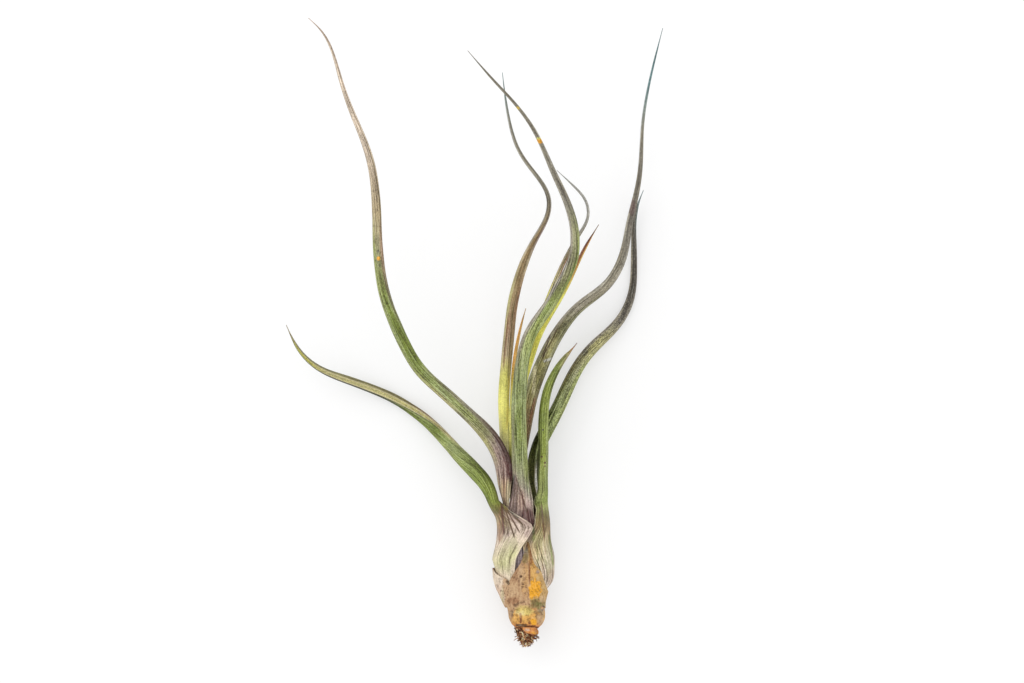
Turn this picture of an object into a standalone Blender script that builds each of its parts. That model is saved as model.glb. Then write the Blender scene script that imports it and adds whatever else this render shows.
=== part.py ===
"""Tillandsia pseudobaileyi: a bulbous air plant that lies on its side.

The plant grows from a short stem with a tuft of wiry roots. Each leaf starts as a broad
sheath that wraps the bulb, and narrows at the neck into a long blade that is rolled into
a channel. Old dry husks cover the foot of the bulb.

Lengths below are in millimetres, in a working frame: X to the right, Y along the plant
from the roots to the leaf tips, Z up from the surface that the plant lies on. The meshes
are made in metres, with the origin under the middle of the whole plant.
"""

import math
import random
from dataclasses import dataclass

import bmesh
import bpy
import numpy as np

PLANT = "tillandsia_pseudobaileyi"
MM = 0.001

# The middle of the whole plant in the working frame.
ORIGIN_X = -16.5
ORIGIN_Y = 104.56

# The bulb's long axis lies this high over the surface.
AXIS_HEIGHT = 9.9
# How thick a sheath is, and how far one sheath's outer face lies inside the next one's.
SHEATH_WALL = 0.65
SHEATH_PITCH = 1.05
# How thick a blade is where it is wide, and the share of its radius where it is thin.
BLADE_WALL = 0.9
BLADE_WALL_SHARE = 0.8
# The husks cover the sheaths up to here, and the sheaths are full size from there.
HUSK_DEPTH = 1.0
HUSK_COVER_END = 26.5
SHEATH_FULL_START = 30.0
# How far a blade is rolled, to each side of its back, at its base and further out.
ROLL_AT_BASE = 92.0
ROLL_FURTHER_OUT = 150.0
# Points across a leaf, on each of its two faces.
POINTS_ACROSS = 9
# All sheaths have a ring of points at each of these places, so that they nest.
SHEATH_RINGS = (13.6, 16.4, 19.4, 22.4, 25.4, 28.4, 31.0, 34.0, 37.0, 40.3, 43.5, 46.0)
# A blade has a ring at each point of its route, and more where those are further apart
# than this, or than the smaller step where the blade leaves the bulb.
BLADE_RING_STEP = 9.0
NECK_RING_STEP = 4.0
# The share of a blade's length over which it rolls up.
ROLL_SHARE = 0.2
# How far the first ring of a blade turns to be square to the blade instead of the bulb.
NECK_LEAN = 0.5
# Edges sharper than this, in degrees, stay sharp, and points this close, in metres, are one.
SHARP_ANGLE = 40.0
WELD_DISTANCE = 1e-6

# Radius of the whole bulb along its length, as (y, radius).
BULB_OUTLINE = (
    (6.0, 4.4), (8.7, 5.5), (10.7, 6.2), (13.5, 6.8), (16.7, 7.8), (20.7, 9.6), (24.7, 10.5),
    (28.7, 10.6), (32.7, 9.9), (36.7, 9.2), (40.7, 9.1), (46.0, 8.7), (52.0, 8.4),
)
# Sideways place of the bulb's axis, as (y, x).
BULB_AXIS = ((8.0, 1.0), (12.0, 0.9), (16.0, 0.0), (60.0, 0.0))


def smooth_curve(xs, ys, at):
    """Read a curve through points at given places, with no overshoot between them."""
    xs = np.asarray(xs, float)
    ys = np.asarray(ys, float)
    steps = np.diff(xs)
    slopes = np.diff(ys) / steps
    tangents = np.zeros(len(xs))
    tangents[0] = slopes[0]
    tangents[-1] = slopes[-1]
    for i in range(1, len(xs) - 1):
        if slopes[i - 1] * slopes[i] > 0:
            weight_a = 2 * steps[i] + steps[i - 1]
            weight_b = steps[i] + 2 * steps[i - 1]
            total = weight_a + weight_b
            tangents[i] = total / (weight_a / slopes[i - 1] + weight_b / slopes[i])
    at = np.clip(np.asarray(at, float), xs[0], xs[-1])
    index = np.clip(np.searchsorted(xs, at, side="right") - 1, 0, len(xs) - 2)
    step = steps[index]
    t = (at - xs[index]) / step
    start = ys[index]
    end = ys[index + 1]
    blend = t * t * (3 - 2 * t)
    bend_in = t * (1 - t) ** 2
    bend_out = -t * t * (1 - t)
    turns = step * (bend_in * tangents[index] + bend_out * tangents[index + 1])
    return start * (1 - blend) + end * blend + turns


def natural_spline(xs, points, at):
    """Read a natural cubic spline through points in space, and its direction."""
    xs = np.asarray(xs, float)
    points = np.asarray(points, float)
    steps = np.diff(xs)[:, None]
    slopes = np.diff(points, axis=0) / steps
    count = len(xs)
    system = np.eye(count)
    right = np.zeros_like(points)
    for i in range(1, count - 1):
        system[i, i - 1] = steps[i - 1, 0]
        system[i, i] = 2 * (steps[i - 1, 0] + steps[i, 0])
        system[i, i + 1] = steps[i, 0]
        right[i] = 6 * (slopes[i] - slopes[i - 1])
    second = np.linalg.solve(system, right)
    index = np.clip(np.searchsorted(xs, at, side="right") - 1, 0, count - 2)
    step = steps[index]
    a = (xs[index + 1] - at)[:, None]
    b = (at - xs[index])[:, None]
    low = second[index]
    high = second[index + 1]
    place = low * a**3 / (6 * step) + high * b**3 / (6 * step)
    place += (points[index] / step - low * step / 6) * a
    place += (points[index + 1] / step - high * step / 6) * b
    way = -low * a**2 / (2 * step) + high * b**2 / (2 * step)
    way += slopes[index] - (high - low) * step / 6
    return place, way


def read_table(rows, at):
    """Read a table of (place, value) rows as a smooth curve."""
    return smooth_curve([row[0] for row in rows], [row[1] for row in rows], at)


def bulb_radius(y):
    """Radius of the whole bulb at a place along it."""
    return float(read_table(BULB_OUTLINE, [y])[0])


def bulb_axis(y):
    """Point of the bulb's axis at a place along it."""
    return np.array([float(read_table(BULB_AXIS, [y])[0]), y, AXIS_HEIGHT])


def ramp(value, start, end):
    """Rise smoothly from 0 to 1 as a value goes from start to end."""
    t = min(max((value - start) / (end - start), 0.0), 1.0)
    return t * t * (3 - 2 * t)


def sheath_radius(y, level):
    """Outer radius of the sheaths of one level, which are set in below the husks."""
    tuck = HUSK_DEPTH * (1 - ramp(y, HUSK_COVER_END, SHEATH_FULL_START))
    return bulb_radius(y) - tuck - level * SHEATH_PITCH


def azimuth_direction(azimuth, along):
    """Direction square to a line, turned round it from straight up toward its right."""
    along = along / np.linalg.norm(along)
    up = np.array([0.0, 0.0, 1.0])
    up = up - along * np.dot(up, along)
    up /= np.linalg.norm(up)
    side = np.cross(along, up)
    angle = math.radians(azimuth)
    return up * math.cos(angle) + side * math.sin(angle)


ALONG_BULB = np.array([0.0, 1.0, 0.0])


@dataclass(frozen=True)
class Section:
    """A strip seen end on: a curved band of even thickness.

    back is the middle of its outer face, bend the curvature of that face, left and right
    the widths along the face to the two margins, facing the azimuth that the back looks
    to, wall the thickness, and lean how far the section turns from square to the bulb's
    axis (0) to square to the strip's own line (1).
    """

    back: np.ndarray
    bend: float
    left: float
    right: float
    facing: float
    wall: float
    lean: float


@dataclass(frozen=True)
class Sheath:
    """The part of a leaf, or a husk, that wraps the bulb.

    margins holds (y, left azimuth, right azimuth), and swell holds (y, how far the
    sheath's own middle is shifted, how much smaller its radius is). The shift is toward
    swell_azimuth, or toward the sheath's azimuth where none is given.
    """

    level: float
    azimuth: float
    margins: tuple
    swell: tuple = ((0.0, 0.0, 0.0), (60.0, 0.0, 0.0))
    swell_azimuth: float = None

    def sections(self):
        """Cross-sections from the foot of the sheath to its top."""
        rows = []
        places = [row[0] for row in self.margins]
        ys = sorted(set(places) | {y for y in SHEATH_RINGS if places[0] < y < places[-1]})
        lefts = smooth_curve(places, [row[1] for row in self.margins], ys)
        rights = smooth_curve(places, [row[2] for row in self.margins], ys)
        swell_places = [row[0] for row in self.swell]
        shifts = smooth_curve(swell_places, [row[1] for row in self.swell], ys)
        cuts = smooth_curve(swell_places, [row[2] for row in self.swell], ys)
        outward = azimuth_direction(self.azimuth, ALONG_BULB)
        shift_azimuth = self.azimuth if self.swell_azimuth is None else self.swell_azimuth
        shift_way = azimuth_direction(shift_azimuth, ALONG_BULB)
        for y, left, right, shift, cut in zip(ys, lefts, rights, shifts, cuts):
            radius = sheath_radius(y, self.level) - cut
            back = bulb_axis(y) + outward * radius + shift_way * shift
            left_width = radius * math.radians(self.azimuth - left)
            right_width = radius * math.radians(right - self.azimuth)
            rows.append(Section(back, 1 / radius, left_width, right_width, self.azimuth, SHEATH_WALL, 0.0))
        return rows


@dataclass(frozen=True)
class Blade:
    """The free part of a leaf: rows of (x, y, z, width, facing) along its middle."""

    route: tuple
    roll: float = ROLL_FURTHER_OUT

    def sections(self):
        """Cross-sections from the neck to the tip."""
        middles = np.array([row[:3] for row in self.route])
        lengths = np.concatenate([[0], np.cumsum(np.linalg.norm(np.diff(middles, axis=0), axis=1))])
        along = np.gradient(middles, lengths, axis=0)
        rows = []
        for i, (x, y, z, width, facing) in enumerate(self.route):
            lean = NECK_LEAN if i == 0 else 1.0
            way = ALONG_BULB * (1 - lean) + along[i] / np.linalg.norm(along[i]) * lean
            radius = width / 2
            share = lengths[i] / lengths[-1]
            roll = ROLL_AT_BASE + (self.roll - ROLL_AT_BASE) * ramp(share, 0.0, ROLL_SHARE)
            back = middles[i] + azimuth_direction(facing, way) * radius
            half = radius * math.radians(roll)
            wall = min(BLADE_WALL, BLADE_WALL_SHARE * radius)
            rows.append(Section(back, 1 / radius, half, half, facing, wall, lean))
        return rows


@dataclass(frozen=True)
class Leaf:
    """A whole leaf, or a husk, which has no blade."""

    name: str
    sheath: Sheath
    colour: tuple
    blade: Blade = None

    def sections(self):
        """Cross-sections of the whole leaf, from its foot to its tip."""
        rows = self.sheath.sections()
        if self.blade is not None:
            rows += self.blade.sections()
        return rows


def section_points(section, along):
    """Points of the outer and inner face of one cross-section, left margin first."""
    outward = azimuth_direction(section.facing, along)
    across = np.cross(along, outward)
    radius = 1 / section.bend
    middle = section.back - outward * radius
    start = -section.left * section.bend
    end = section.right * section.bend
    outer = []
    inner = []
    for angle in np.linspace(start, end, POINTS_ACROSS):
        way = outward * math.cos(angle) + across * math.sin(angle)
        outer.append(middle + way * radius)
        inner.append(middle + way * (radius - section.wall))
    outer = np.array(outer)
    inner = np.array(inner)
    outer[:, 2] = np.maximum(outer[:, 2], 0.0)
    inner[:, 2] = np.maximum(inner[:, 2], section.wall)
    return outer, inner


def leaf_rings(leaf):
    """Rings of points along a leaf, read from its cross-sections."""
    rows = leaf.sections()
    backs = np.array([row.back for row in rows])
    places = np.concatenate([[0], np.cumsum(np.linalg.norm(np.diff(backs, axis=0), axis=1))])
    at = [places[0]]
    sheath_count = len(leaf.sheath.sections())
    for i in range(1, len(places)):
        length = places[i] - places[i - 1]
        if i < sheath_count:
            pieces = 1
        elif i <= sheath_count + 1:
            pieces = math.ceil(length / NECK_RING_STEP)
        else:
            pieces = math.ceil(length / BLADE_RING_STEP)
        at.extend(places[i - 1] + length * (k + 1) / pieces for k in range(pieces))
    at = np.array(at)
    points, ways = natural_spline(places, backs, at)
    values = {}
    for name in ("bend", "left", "right", "facing", "wall", "lean"):
        values[name] = smooth_curve(places, [getattr(row, name) for row in rows], at)
    rings = []
    for i in range(len(at)):
        lean = values["lean"][i]
        along = ALONG_BULB * (1 - lean) + ways[i] / np.linalg.norm(ways[i]) * lean
        along /= np.linalg.norm(along)
        section = Section(points[i], **{name: values[name][i] for name in values})
        rings.append(section_points(section, along))
    return rings


def strip_mesh(name, rings):
    """Close rings of outer and inner points into one solid strip."""
    verts = []
    for outer, inner in rings:
        for point in list(outer) + list(inner):
            verts.append(((point[0] - ORIGIN_X) * MM, (point[1] - ORIGIN_Y) * MM, point[2] * MM))
    per_ring = 2 * POINTS_ACROSS
    last = POINTS_ACROSS - 1
    faces = []

    def add(a, b, c, d):
        """Two triangles of a four-sided face, split from its first corner."""
        faces.append((a, b, c))
        faces.append((a, c, d))

    for i in range(len(rings) - 1):
        low = i * per_ring
        high = low + per_ring
        for j in range(last):
            k = POINTS_ACROSS + j
            add(low + j, low + j + 1, high + j + 1, high + j)
            add(low + k, high + k, high + k + 1, low + k + 1)
        add(low, high, high + POINTS_ACROSS, low + POINTS_ACROSS)
        add(low + last, low + last + POINTS_ACROSS, high + last + POINTS_ACROSS, high + last)
    top = (len(rings) - 1) * per_ring
    for j in range(last):
        k = POINTS_ACROSS + j
        add(j, k, k + 1, j + 1)
        add(top + j, top + j + 1, top + k + 1, top + k)
    mesh = bpy.data.meshes.new(name)
    mesh.from_pydata(verts, [], faces)
    shape = bmesh.new()
    shape.from_mesh(mesh)
    bmesh.ops.recalc_face_normals(shape, faces=shape.faces)
    shape.to_mesh(mesh)
    shape.free()
    mesh.shade_smooth()
    mesh.set_sharp_from_angle(angle=math.radians(SHARP_ANGLE))
    return mesh


def material(name, colour, roughness):
    """A plain material in one colour."""
    made = bpy.data.materials.new(name)
    made.use_nodes = True
    shader = made.node_tree.nodes["Principled BSDF"]
    shader.inputs["Base Color"].default_value = (*colour, 1.0)
    shader.inputs["Roughness"].default_value = roughness
    shader.inputs["Metallic"].default_value = 0.0
    return made


GREEN = (0.16, 0.21, 0.07)
DARK_GREEN = (0.05, 0.08, 0.03)
PURPLE_GREEN = (0.16, 0.15, 0.10)
YELLOW_GREEN = (0.55, 0.52, 0.12)
HUSK_TAN = (0.50, 0.32, 0.19)
HUSK_PINK = (0.56, 0.40, 0.30)
ROOT_BROWN = (0.17, 0.08, 0.03)
LEAF_ROUGHNESS = 0.6
ROOT_ROUGHNESS = 0.85

# The ten leaves, from the outermost sheath to the innermost one.
LEAVES = (
    Leaf(
        "leaf_01",
        Sheath(
            0, -85,
            ((13.6, -190, -10), (25.4, -190, -16), (34.0, -190, -1), (40.3, -184, 19), (43.5, -160, -1),
             (45.0, -147, -12), (46.0, -138, -20)),
            ((13.6, 0.0, 0.0), (40.3, 0.0, 0.0), (43.5, 0.7, 0.0), (46.0, 2.3, 0.0)),
        ),
        GREEN,
        Blade((
            (-10.0, 49.3, 10.6, 4.9, -50), (-14.9, 57.3, 10.2, 5.3, -46), (-20.6, 63.3, 8.9, 4.9, -50),
            (-28.2, 71.4, 5.3, 4.2, -70), (-34.8, 77.5, 2.4, 3.7, -95), (-40.8, 81.6, 1.62, 3.4, -120),
            (-48.7, 85.5, 2.5, 3.0, -140), (-58.8, 89.3, 5.2, 2.7, -155), (-68.5, 93.3, 8.6, 2.0, -170),
            (-75.0, 99.3, 11.8, 1.2, -180), (-79.3, 107.7, 14.5, 0.5, -180),
        )),
    ),
    Leaf(
        "leaf_10",
        Sheath(
            1, 90, ((15.0, 10, 155), (25.4, 8, 155), (34.0, -8, 155), (40.3, 19, 150), (46.0, 28, 112)),
            ((15.0, 0.0, 0.0), (18.8, 0.3, 0.0), (21.5, 1.7, 0.0), (26.5, 1.7, 0.0), (29.2, 0.9, 0.0),
             (46.0, 0.6, 0.0)),
        ),
        GREEN,
        Blade((
            (5.9, 53.3, 13.0, 4.3, 50), (6.4, 65.0, 15.0, 3.5, 58), (6.5, 77.3, 17.5, 3.3, 55),
            (7.7, 85.3, 19.5, 3.0, 50), (11.2, 93.3, 21.0, 2.2, 45), (14.0, 97.3, 21.6, 1.5, 45),
            (17.7, 101.7, 22.2, 0.5, 45),
        )),
    ),
    Leaf(
        "leaf_03",
        Sheath(2, -5, ((16.4, -85, 75), (34.0, -85, 75), (40.3, -75, 40), (46.0, -57, 28))),
        PURPLE_GREEN,
        Blade((
            (-1.0, 57.0, 17.0, 5.2, -8), (-1.7, 73.3, 22.0, 5.1, -12), (-1.2, 89.3, 28.0, 4.6, -25),
            (2.5, 105.3, 34.0, 4.2, -55), (7.8, 113.3, 37.0, 4.1, -75), (12.5, 121.3, 40.0, 3.8, -105),
            (16.3, 129.3, 43.0, 3.4, -140), (16.9, 137.3, 46.0, 3.0, -160),
            (13.9, 149.3, 50.0, 2.6, -165), (10.3, 157.3, 52.0, 2.4, -165),
            (6.8, 165.3, 54.0, 2.1, -165), (2.7, 173.3, 55.6, 1.7, -165),
            (-3.2, 181.3, 57.0, 1.3, -165), (-10.5, 189.3, 57.8, 1.0, -165),
            (-18.7, 198.7, 58.0, 0.5, -165),
        )),
    ),
    Leaf(
        "leaf_08",
        Sheath(2, 183, ((16.4, 98, 250), (34.0, 98, 250), (40.3, 120, 232), (46.0, 150, 207))),
        PURPLE_GREEN,
        Blade((
            (-1.4, 56.0, 4.0, 4.0, 183), (0.0, 73.3, 4.8, 4.8, 180), (4.0, 89.3, 6.0, 4.8, 178),
            (9.2, 101.3, 7.2, 4.4, 175), (18.2, 113.3, 8.5, 3.6, 172), (27.8, 121.3, 9.5, 3.15, 170),
            (32.5, 129.3, 10.2, 2.9, 170), (35.2, 141.3, 11.0, 2.3, 170), (38.5, 157.3, 11.8, 1.6, 170),
            (39.5, 173.3, 12.0, 1.1, 170), (42.0, 189.3, 12.0, 0.75, 170),
            (46.3, 206.7, 12.0, 0.5, 170),
        )),
    ),
    Leaf(
        "leaf_02",
        Sheath(
            3, -65, ((18.0, -143, 15), (34.0, -143, 12), (40.3, -125, -16), (46.0, -100, -42)),
            ((18.0, 0.0, 0.0), (37.0, 0.0, 0.0), (41.0, 0.5, 0.0), (46.0, 1.7, 0.0)), -135,
        ),
        PURPLE_GREEN,
        Blade((
            (-5.8, 53.3, 12.4, 5.2, -62), (-6.9, 61.3, 13.6, 5.8, -62), (-9.9, 69.3, 15.6, 5.4, -66),
            (-17.9, 77.1, 18.5, 4.6, -75), (-26.6, 85.1, 21.5, 4.2, -80), (-34.9, 93.2, 24.5, 4.1, -85),
            (-41.7, 105.3, 29.0, 4.0, -92), (-46.2, 117.3, 33.0, 3.7, -100),
            (-48.6, 133.3, 38.0, 3.3, -115), (-49.2, 149.3, 41.0, 2.9, -130),
            (-52.0, 165.3, 43.2, 2.5, -145), (-56.7, 177.3, 44.4, 2.0, -152),
            (-61.0, 189.3, 45.0, 1.5, -160), (-64.0, 199.3, 45.0, 1.0, -165),
            (-67.3, 205.3, 45.0, 0.8, -165), (-71.7, 209.7, 45.0, 0.5, -165),
        )),
    ),
    Leaf(
        "leaf_09",
        Sheath(3, 125, ((18.0, 46, 203), (34.0, 46, 203), (40.3, 70, 190), (46.0, 98, 165))),
        DARK_GREEN,
        Blade((
            (2.3, 56.0, 6.7, 4.0, 133), (5.9, 69.3, 6.7, 4.7, 138), (12.0, 81.3, 6.5, 4.5, 145),
            (17.8, 93.3, 5.8, 4.2, 150), (24.3, 101.3, 4.6, 3.8, 155), (32.0, 109.3, 2.6, 3.1, 160),
            (35.7, 117.3, 1.3, 2.6, 162), (36.7, 125.3, 1.05, 2.2, 165), (36.7, 135.3, 1.8, 1.8, 165),
            (37.3, 145.3, 3.2, 1.3, 165), (39.9, 152.7, 4.6, 0.5, 165),
        )),
    ),
    Leaf(
        "leaf_04",
        Sheath(4, -135, ((19.4, -213, -57), (34.0, -213, -57), (40.3, -195, -75), (46.0, -168, -100))),
        YELLOW_GREEN,
        Blade((
            (-4.5, 56.0, 6.8, 3.6, -132), (-6.0, 66.7, 8.5, 3.7, -135), (-6.7, 81.3, 13.0, 3.7, -140),
            (-5.7, 97.3, 18.5, 3.6, -145), (-3.2, 117.3, 25.0, 3.4, -150),
            (-0.2, 127.7, 27.8, 3.0, -152), (4.3, 137.3, 29.5, 2.0, -155),
            (8.0, 144.8, 30.4, 1.65, -160), (8.2, 149.8, 30.8, 1.5, -160),
            (4.2, 157.3, 31.3, 1.35, -160), (-1.5, 165.3, 31.8, 1.2, -160),
            (-4.6, 174.3, 32.0, 1.0, -160), (-7.2, 191.7, 32.0, 0.5, -160),
        )),
    ),
    Leaf(
        "leaf_07",
        Sheath(4, 45, ((19.4, -25, 115), (34.0, -25, 115), (40.3, -5, 95), (46.0, 12, 78))),
        YELLOW_GREEN,
        Blade((
            (0.6, 56.0, 10.2, 1.6, 45), (0.1, 69.0, 12.5, 1.7, 30), (-0.2, 79.0, 14.5, 1.7, 10),
            (0.2, 88.0, 16.5, 1.7, -10), (2.3, 95.7, 18.3, 1.7, -20), (5.7, 105.3, 20.5, 1.7, -20),
            (13.3, 118.7, 24.0, 1.6, -20), (20.3, 133.3, 27.0, 1.1, -20), (24.9, 141.1, 28.5, 0.5, -20),
        )),
    ),
    Leaf(
        "leaf_05",
        Sheath(5, -60, ((21.2, -128, 8), (34.0, -128, 8), (40.3, -110, -10), (46.0, -85, -35))),
        YELLOW_GREEN,
        Blade((
            (-2.4, 56.0, 11.0, 1.2, -60), (-4.3, 66.3, 13.0, 1.3, -60), (-4.3, 76.0, 15.5, 1.3, -60),
            (-3.9, 87.3, 18.5, 1.25, -60), (-2.3, 101.3, 22.5, 1.1, -60), (0.6, 113.2, 26.0, 0.5, -60),
        )),
    ),
    Leaf(
        "leaf_06",
        Sheath(5, 150, ((21.2, 82, 218), (34.0, 82, 218), (40.3, 100, 200), (46.0, 125, 175))),
        YELLOW_GREEN,
        Blade((
            (-0.9, 56.0, 8.3, 1.5, 150), (-2.3, 69.0, 10.0, 1.6, 155), (-1.3, 83.0, 13.0, 1.65, 160),
            (0.7, 93.0, 15.0, 1.65, 165), (5.3, 109.0, 18.5, 1.65, 170), (11.8, 125.3, 21.5, 1.5, 170),
            (18.0, 137.3, 23.5, 1.2, 170), (21.2, 143.5, 24.0, 1.0, 170), (20.6, 148.8, 24.0, 0.9, 170),
            (17.0, 153.5, 24.0, 0.75, 170), (10.9, 159.2, 24.0, 0.5, 170),
        )),
    ),
)

# The dry husks of old leaves, and the small scale at the root crown.
HUSKS = (
    Leaf(
        "husk_front",
        Sheath(
            -0.95, 20,
            ((13.6, -74, 118), (15.0, -72, 118), (18.0, -52, 92), (19.5, -43, 64), (21.3, -34, 49),
             (25.4, -17, 32), (28.4, -8, 18), (33.0, 1, 12), (35.4, 5, 8)),
            ((13.6, 0.0, 0.0), (26.5, 0.0, -0.35), (30.0, 0.0, 0.8), (36.0, 0.0, 0.6)),
        ),
        HUSK_TAN,
    ),
    Leaf(
        "husk_left",
        Sheath(
            -0.95, -110,
            ((13.6, -150, -80), (18.0, -150, -60), (21.3, -150, -41), (22.4, -148, -42),
             (24.5, -138, -62), (26.6, -106, -84)),
        ),
        HUSK_PINK,
    ),
    Leaf("husk_base", Sheath(-0.95, 0, ((7.4, -150, 150), (10.3, -150, 150), (13.2, -150, 150))), HUSK_TAN),
    Leaf("basal_scale", Sheath(-0.95, 20, ((4.4, -6, 50), (5.6, -14, 57), (7.0, -12, 54))), HUSK_PINK),
)

# The stem: a butt that carries the roots and husks, and a cone that the leaves grow from,
# both as (radius, y) from the top down.
BUTT_X = 0.9
BUTT_PROFILE = (
    (0.0, 13.3), (5.0, 13.3), (5.1, 12.0), (4.8, 10.3), (3.75, 7.4), (3.5, 6.6), (3.4, 4.5), (3.0, 3.2),
    (2.0, 2.2), (0.0, 1.9),
)
CONE_PROFILE = (
    (0.0, 24.2), (0.7, 23.6), (2.2, 20.8), (2.6, 19.0), (3.0, 17.6), (3.35, 16.0), (3.85, 14.2),
    (4.4, 12.2), (4.2, 11.2), (0.0, 10.8),
)
STEM_STEPS = 20
# The wiry roots.
ROOT_COUNT = 15
ROOT_SEED = 7
ROOT_THICKNESS = (0.36, 0.46)
ROOT_LENGTH = (2.6, 4.6)
ROOT_POINTS = 5
# Where the roots start along the plant, how far from the axis at most, and how far they
# point outward and bend sideways and lengthways at each step.
ROOT_START_Y = 3.4
ROOT_START_RADIUS = 1.9
ROOT_SPREAD = (0.1, 0.95)
ROOT_OUTWARD = 0.9
ROOT_BEND = 0.45
ROOT_PULL = (-0.2, 0.3)


def turned(name, profile, x):
    """A solid turned about the plant's long axis, at a sideways place."""
    mesh = bpy.data.meshes.new(name)
    verts = [(radius * MM, 0.0, y * MM) for radius, y in profile]
    edges = [(i, i + 1) for i in range(len(profile) - 1)]
    mesh.from_pydata(verts, edges, [])
    made = bpy.data.objects.new(name, mesh)
    made.location = ((x - ORIGIN_X) * MM, -ORIGIN_Y * MM, AXIS_HEIGHT * MM)
    made.rotation_euler = (-math.pi / 2, 0.0, 0.0)
    screw = made.modifiers.new("turn", "SCREW")
    screw.axis = "Z"
    screw.steps = STEM_STEPS
    screw.render_steps = STEM_STEPS
    screw.use_merge_vertices = True
    screw.merge_threshold = WELD_DISTANCE
    return made


def root(name, draw):
    """One wiry root: a bent tube that starts inside the butt and points down and out."""
    turn = draw.uniform(0, 2 * math.pi)
    spread = draw.uniform(*ROOT_SPREAD)
    outward = np.array([math.cos(turn), 0.0, math.sin(turn)])
    start = np.array([BUTT_X, ROOT_START_Y, AXIS_HEIGHT]) + outward * ROOT_START_RADIUS * spread
    way = outward * ROOT_OUTWARD * spread - ALONG_BULB
    step = draw.uniform(*ROOT_LENGTH) / (ROOT_POINTS - 1)
    points = [start]
    for _ in range(ROOT_POINTS - 1):
        way = way / np.linalg.norm(way)
        points.append(points[-1] + way * step)
        across = draw.uniform(-ROOT_BEND, ROOT_BEND)
        lengthways = draw.uniform(*ROOT_PULL)
        upward = draw.uniform(-ROOT_BEND, ROOT_BEND)
        way = way + np.array([across, lengthways, upward])
    curve = bpy.data.curves.new(name, "CURVE")
    curve.dimensions = "3D"
    curve.bevel_depth = draw.uniform(*ROOT_THICKNESS) * MM
    curve.bevel_resolution = 1
    curve.use_fill_caps = True
    spline = curve.splines.new("POLY")
    spline.points.add(ROOT_POINTS - 1)
    for target, point in zip(spline.points, points):
        target.co = ((point[0] - ORIGIN_X) * MM, (point[1] - ORIGIN_Y) * MM, point[2] * MM, 1.0)
    return bpy.data.objects.new(name, curve)


def as_mesh(source):
    """Turn a curve or a modified object into a welded mesh object, and drop the source."""
    graph = bpy.context.evaluated_depsgraph_get()
    mesh = bpy.data.meshes.new_from_object(source.evaluated_get(graph))
    shape = bmesh.new()
    shape.from_mesh(mesh)
    bmesh.ops.remove_doubles(shape, verts=shape.verts, dist=WELD_DISTANCE)
    bmesh.ops.recalc_face_normals(shape, faces=shape.faces)
    shape.to_mesh(mesh)
    shape.free()
    made = bpy.data.objects.new(source.name + "_mesh", mesh)
    made.matrix_world = source.matrix_world.copy()
    bpy.data.objects.remove(source, do_unlink=True)
    return made


def build_stem(plant):
    """The stem and its roots, joined into one solid."""
    draw = random.Random(ROOT_SEED)
    sources = [turned("butt", BUTT_PROFILE, BUTT_X), turned("cone", CONE_PROFILE, 0.0)]
    sources += [root(f"root_{i}", draw) for i in range(ROOT_COUNT)]
    for source in sources:
        plant.objects.link(source)
    bpy.context.view_layer.update()
    butt, *others = [as_mesh(source) for source in sources]
    joined = bpy.data.collections.new("joined_to_stem")
    bpy.context.scene.collection.children.link(joined)
    for other in others:
        joined.objects.link(other)
    plant.objects.link(butt)
    union = butt.modifiers.new("join", "BOOLEAN")
    union.operation = "UNION"
    union.operand_type = "COLLECTION"
    union.collection = joined
    union.solver = "EXACT"
    bpy.context.view_layer.update()
    graph = bpy.context.evaluated_depsgraph_get()
    mesh = bpy.data.meshes.new_from_object(butt.evaluated_get(graph))
    mesh.shade_smooth()
    mesh.set_sharp_from_angle(angle=math.radians(SHARP_ANGLE))
    stem = bpy.data.objects.new("stem_with_roots", mesh)
    stem.matrix_world = butt.matrix_world.copy()
    stem.data.materials.clear()
    stem.data.materials.append(material("root", ROOT_BROWN, ROOT_ROUGHNESS))
    plant.objects.link(stem)
    for used in [butt] + others:
        bpy.data.objects.remove(used, do_unlink=True)
    bpy.data.collections.remove(joined)


def main():
    """Build the whole plant."""
    for old in list(bpy.data.objects):
        bpy.data.objects.remove(old, do_unlink=True)
    plant = bpy.data.collections.new(PLANT)
    bpy.context.scene.collection.children.link(plant)
    for leaf in LEAVES + HUSKS:
        made = bpy.data.objects.new(leaf.name, strip_mesh(leaf.name, leaf_rings(leaf)))
        made.data.materials.append(material(leaf.name, leaf.colour, LEAF_ROUGHNESS))
        plant.objects.link(made)
    build_stem(plant)


main()
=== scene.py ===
"""Looks of a Tillandsia pseudobaileyi, a bulbous air plant that lies on a white table.

Ten leaves wrap each other into a bulb and leave its neck as long rolled blades. Dry husks
cover the foot of the bulb, and a tuft of wiry roots ends it. Each piece here is a finer
form of the CAD node that it stands for.

Lengths in the tables are in millimetres, in the working frame of the plant: X to the
right, Y from the roots to the leaf tips, Z up from the table. Azimuths are in degrees
round a leaf's own line, from straight up (0) to the right (90).
"""

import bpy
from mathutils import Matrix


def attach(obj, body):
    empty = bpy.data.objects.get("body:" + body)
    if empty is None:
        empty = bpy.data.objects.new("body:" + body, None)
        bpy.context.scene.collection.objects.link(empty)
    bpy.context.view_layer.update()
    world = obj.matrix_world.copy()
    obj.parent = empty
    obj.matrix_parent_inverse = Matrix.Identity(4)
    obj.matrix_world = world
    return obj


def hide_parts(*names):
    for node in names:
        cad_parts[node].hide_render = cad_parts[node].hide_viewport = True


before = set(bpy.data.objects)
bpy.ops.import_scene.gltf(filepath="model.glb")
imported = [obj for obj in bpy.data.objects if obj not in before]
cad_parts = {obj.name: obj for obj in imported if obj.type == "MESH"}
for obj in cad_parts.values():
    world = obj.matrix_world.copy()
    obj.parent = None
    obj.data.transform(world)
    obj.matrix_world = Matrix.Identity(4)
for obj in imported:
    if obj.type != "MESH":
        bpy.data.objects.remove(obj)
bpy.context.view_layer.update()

import logging
import math
import random
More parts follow.
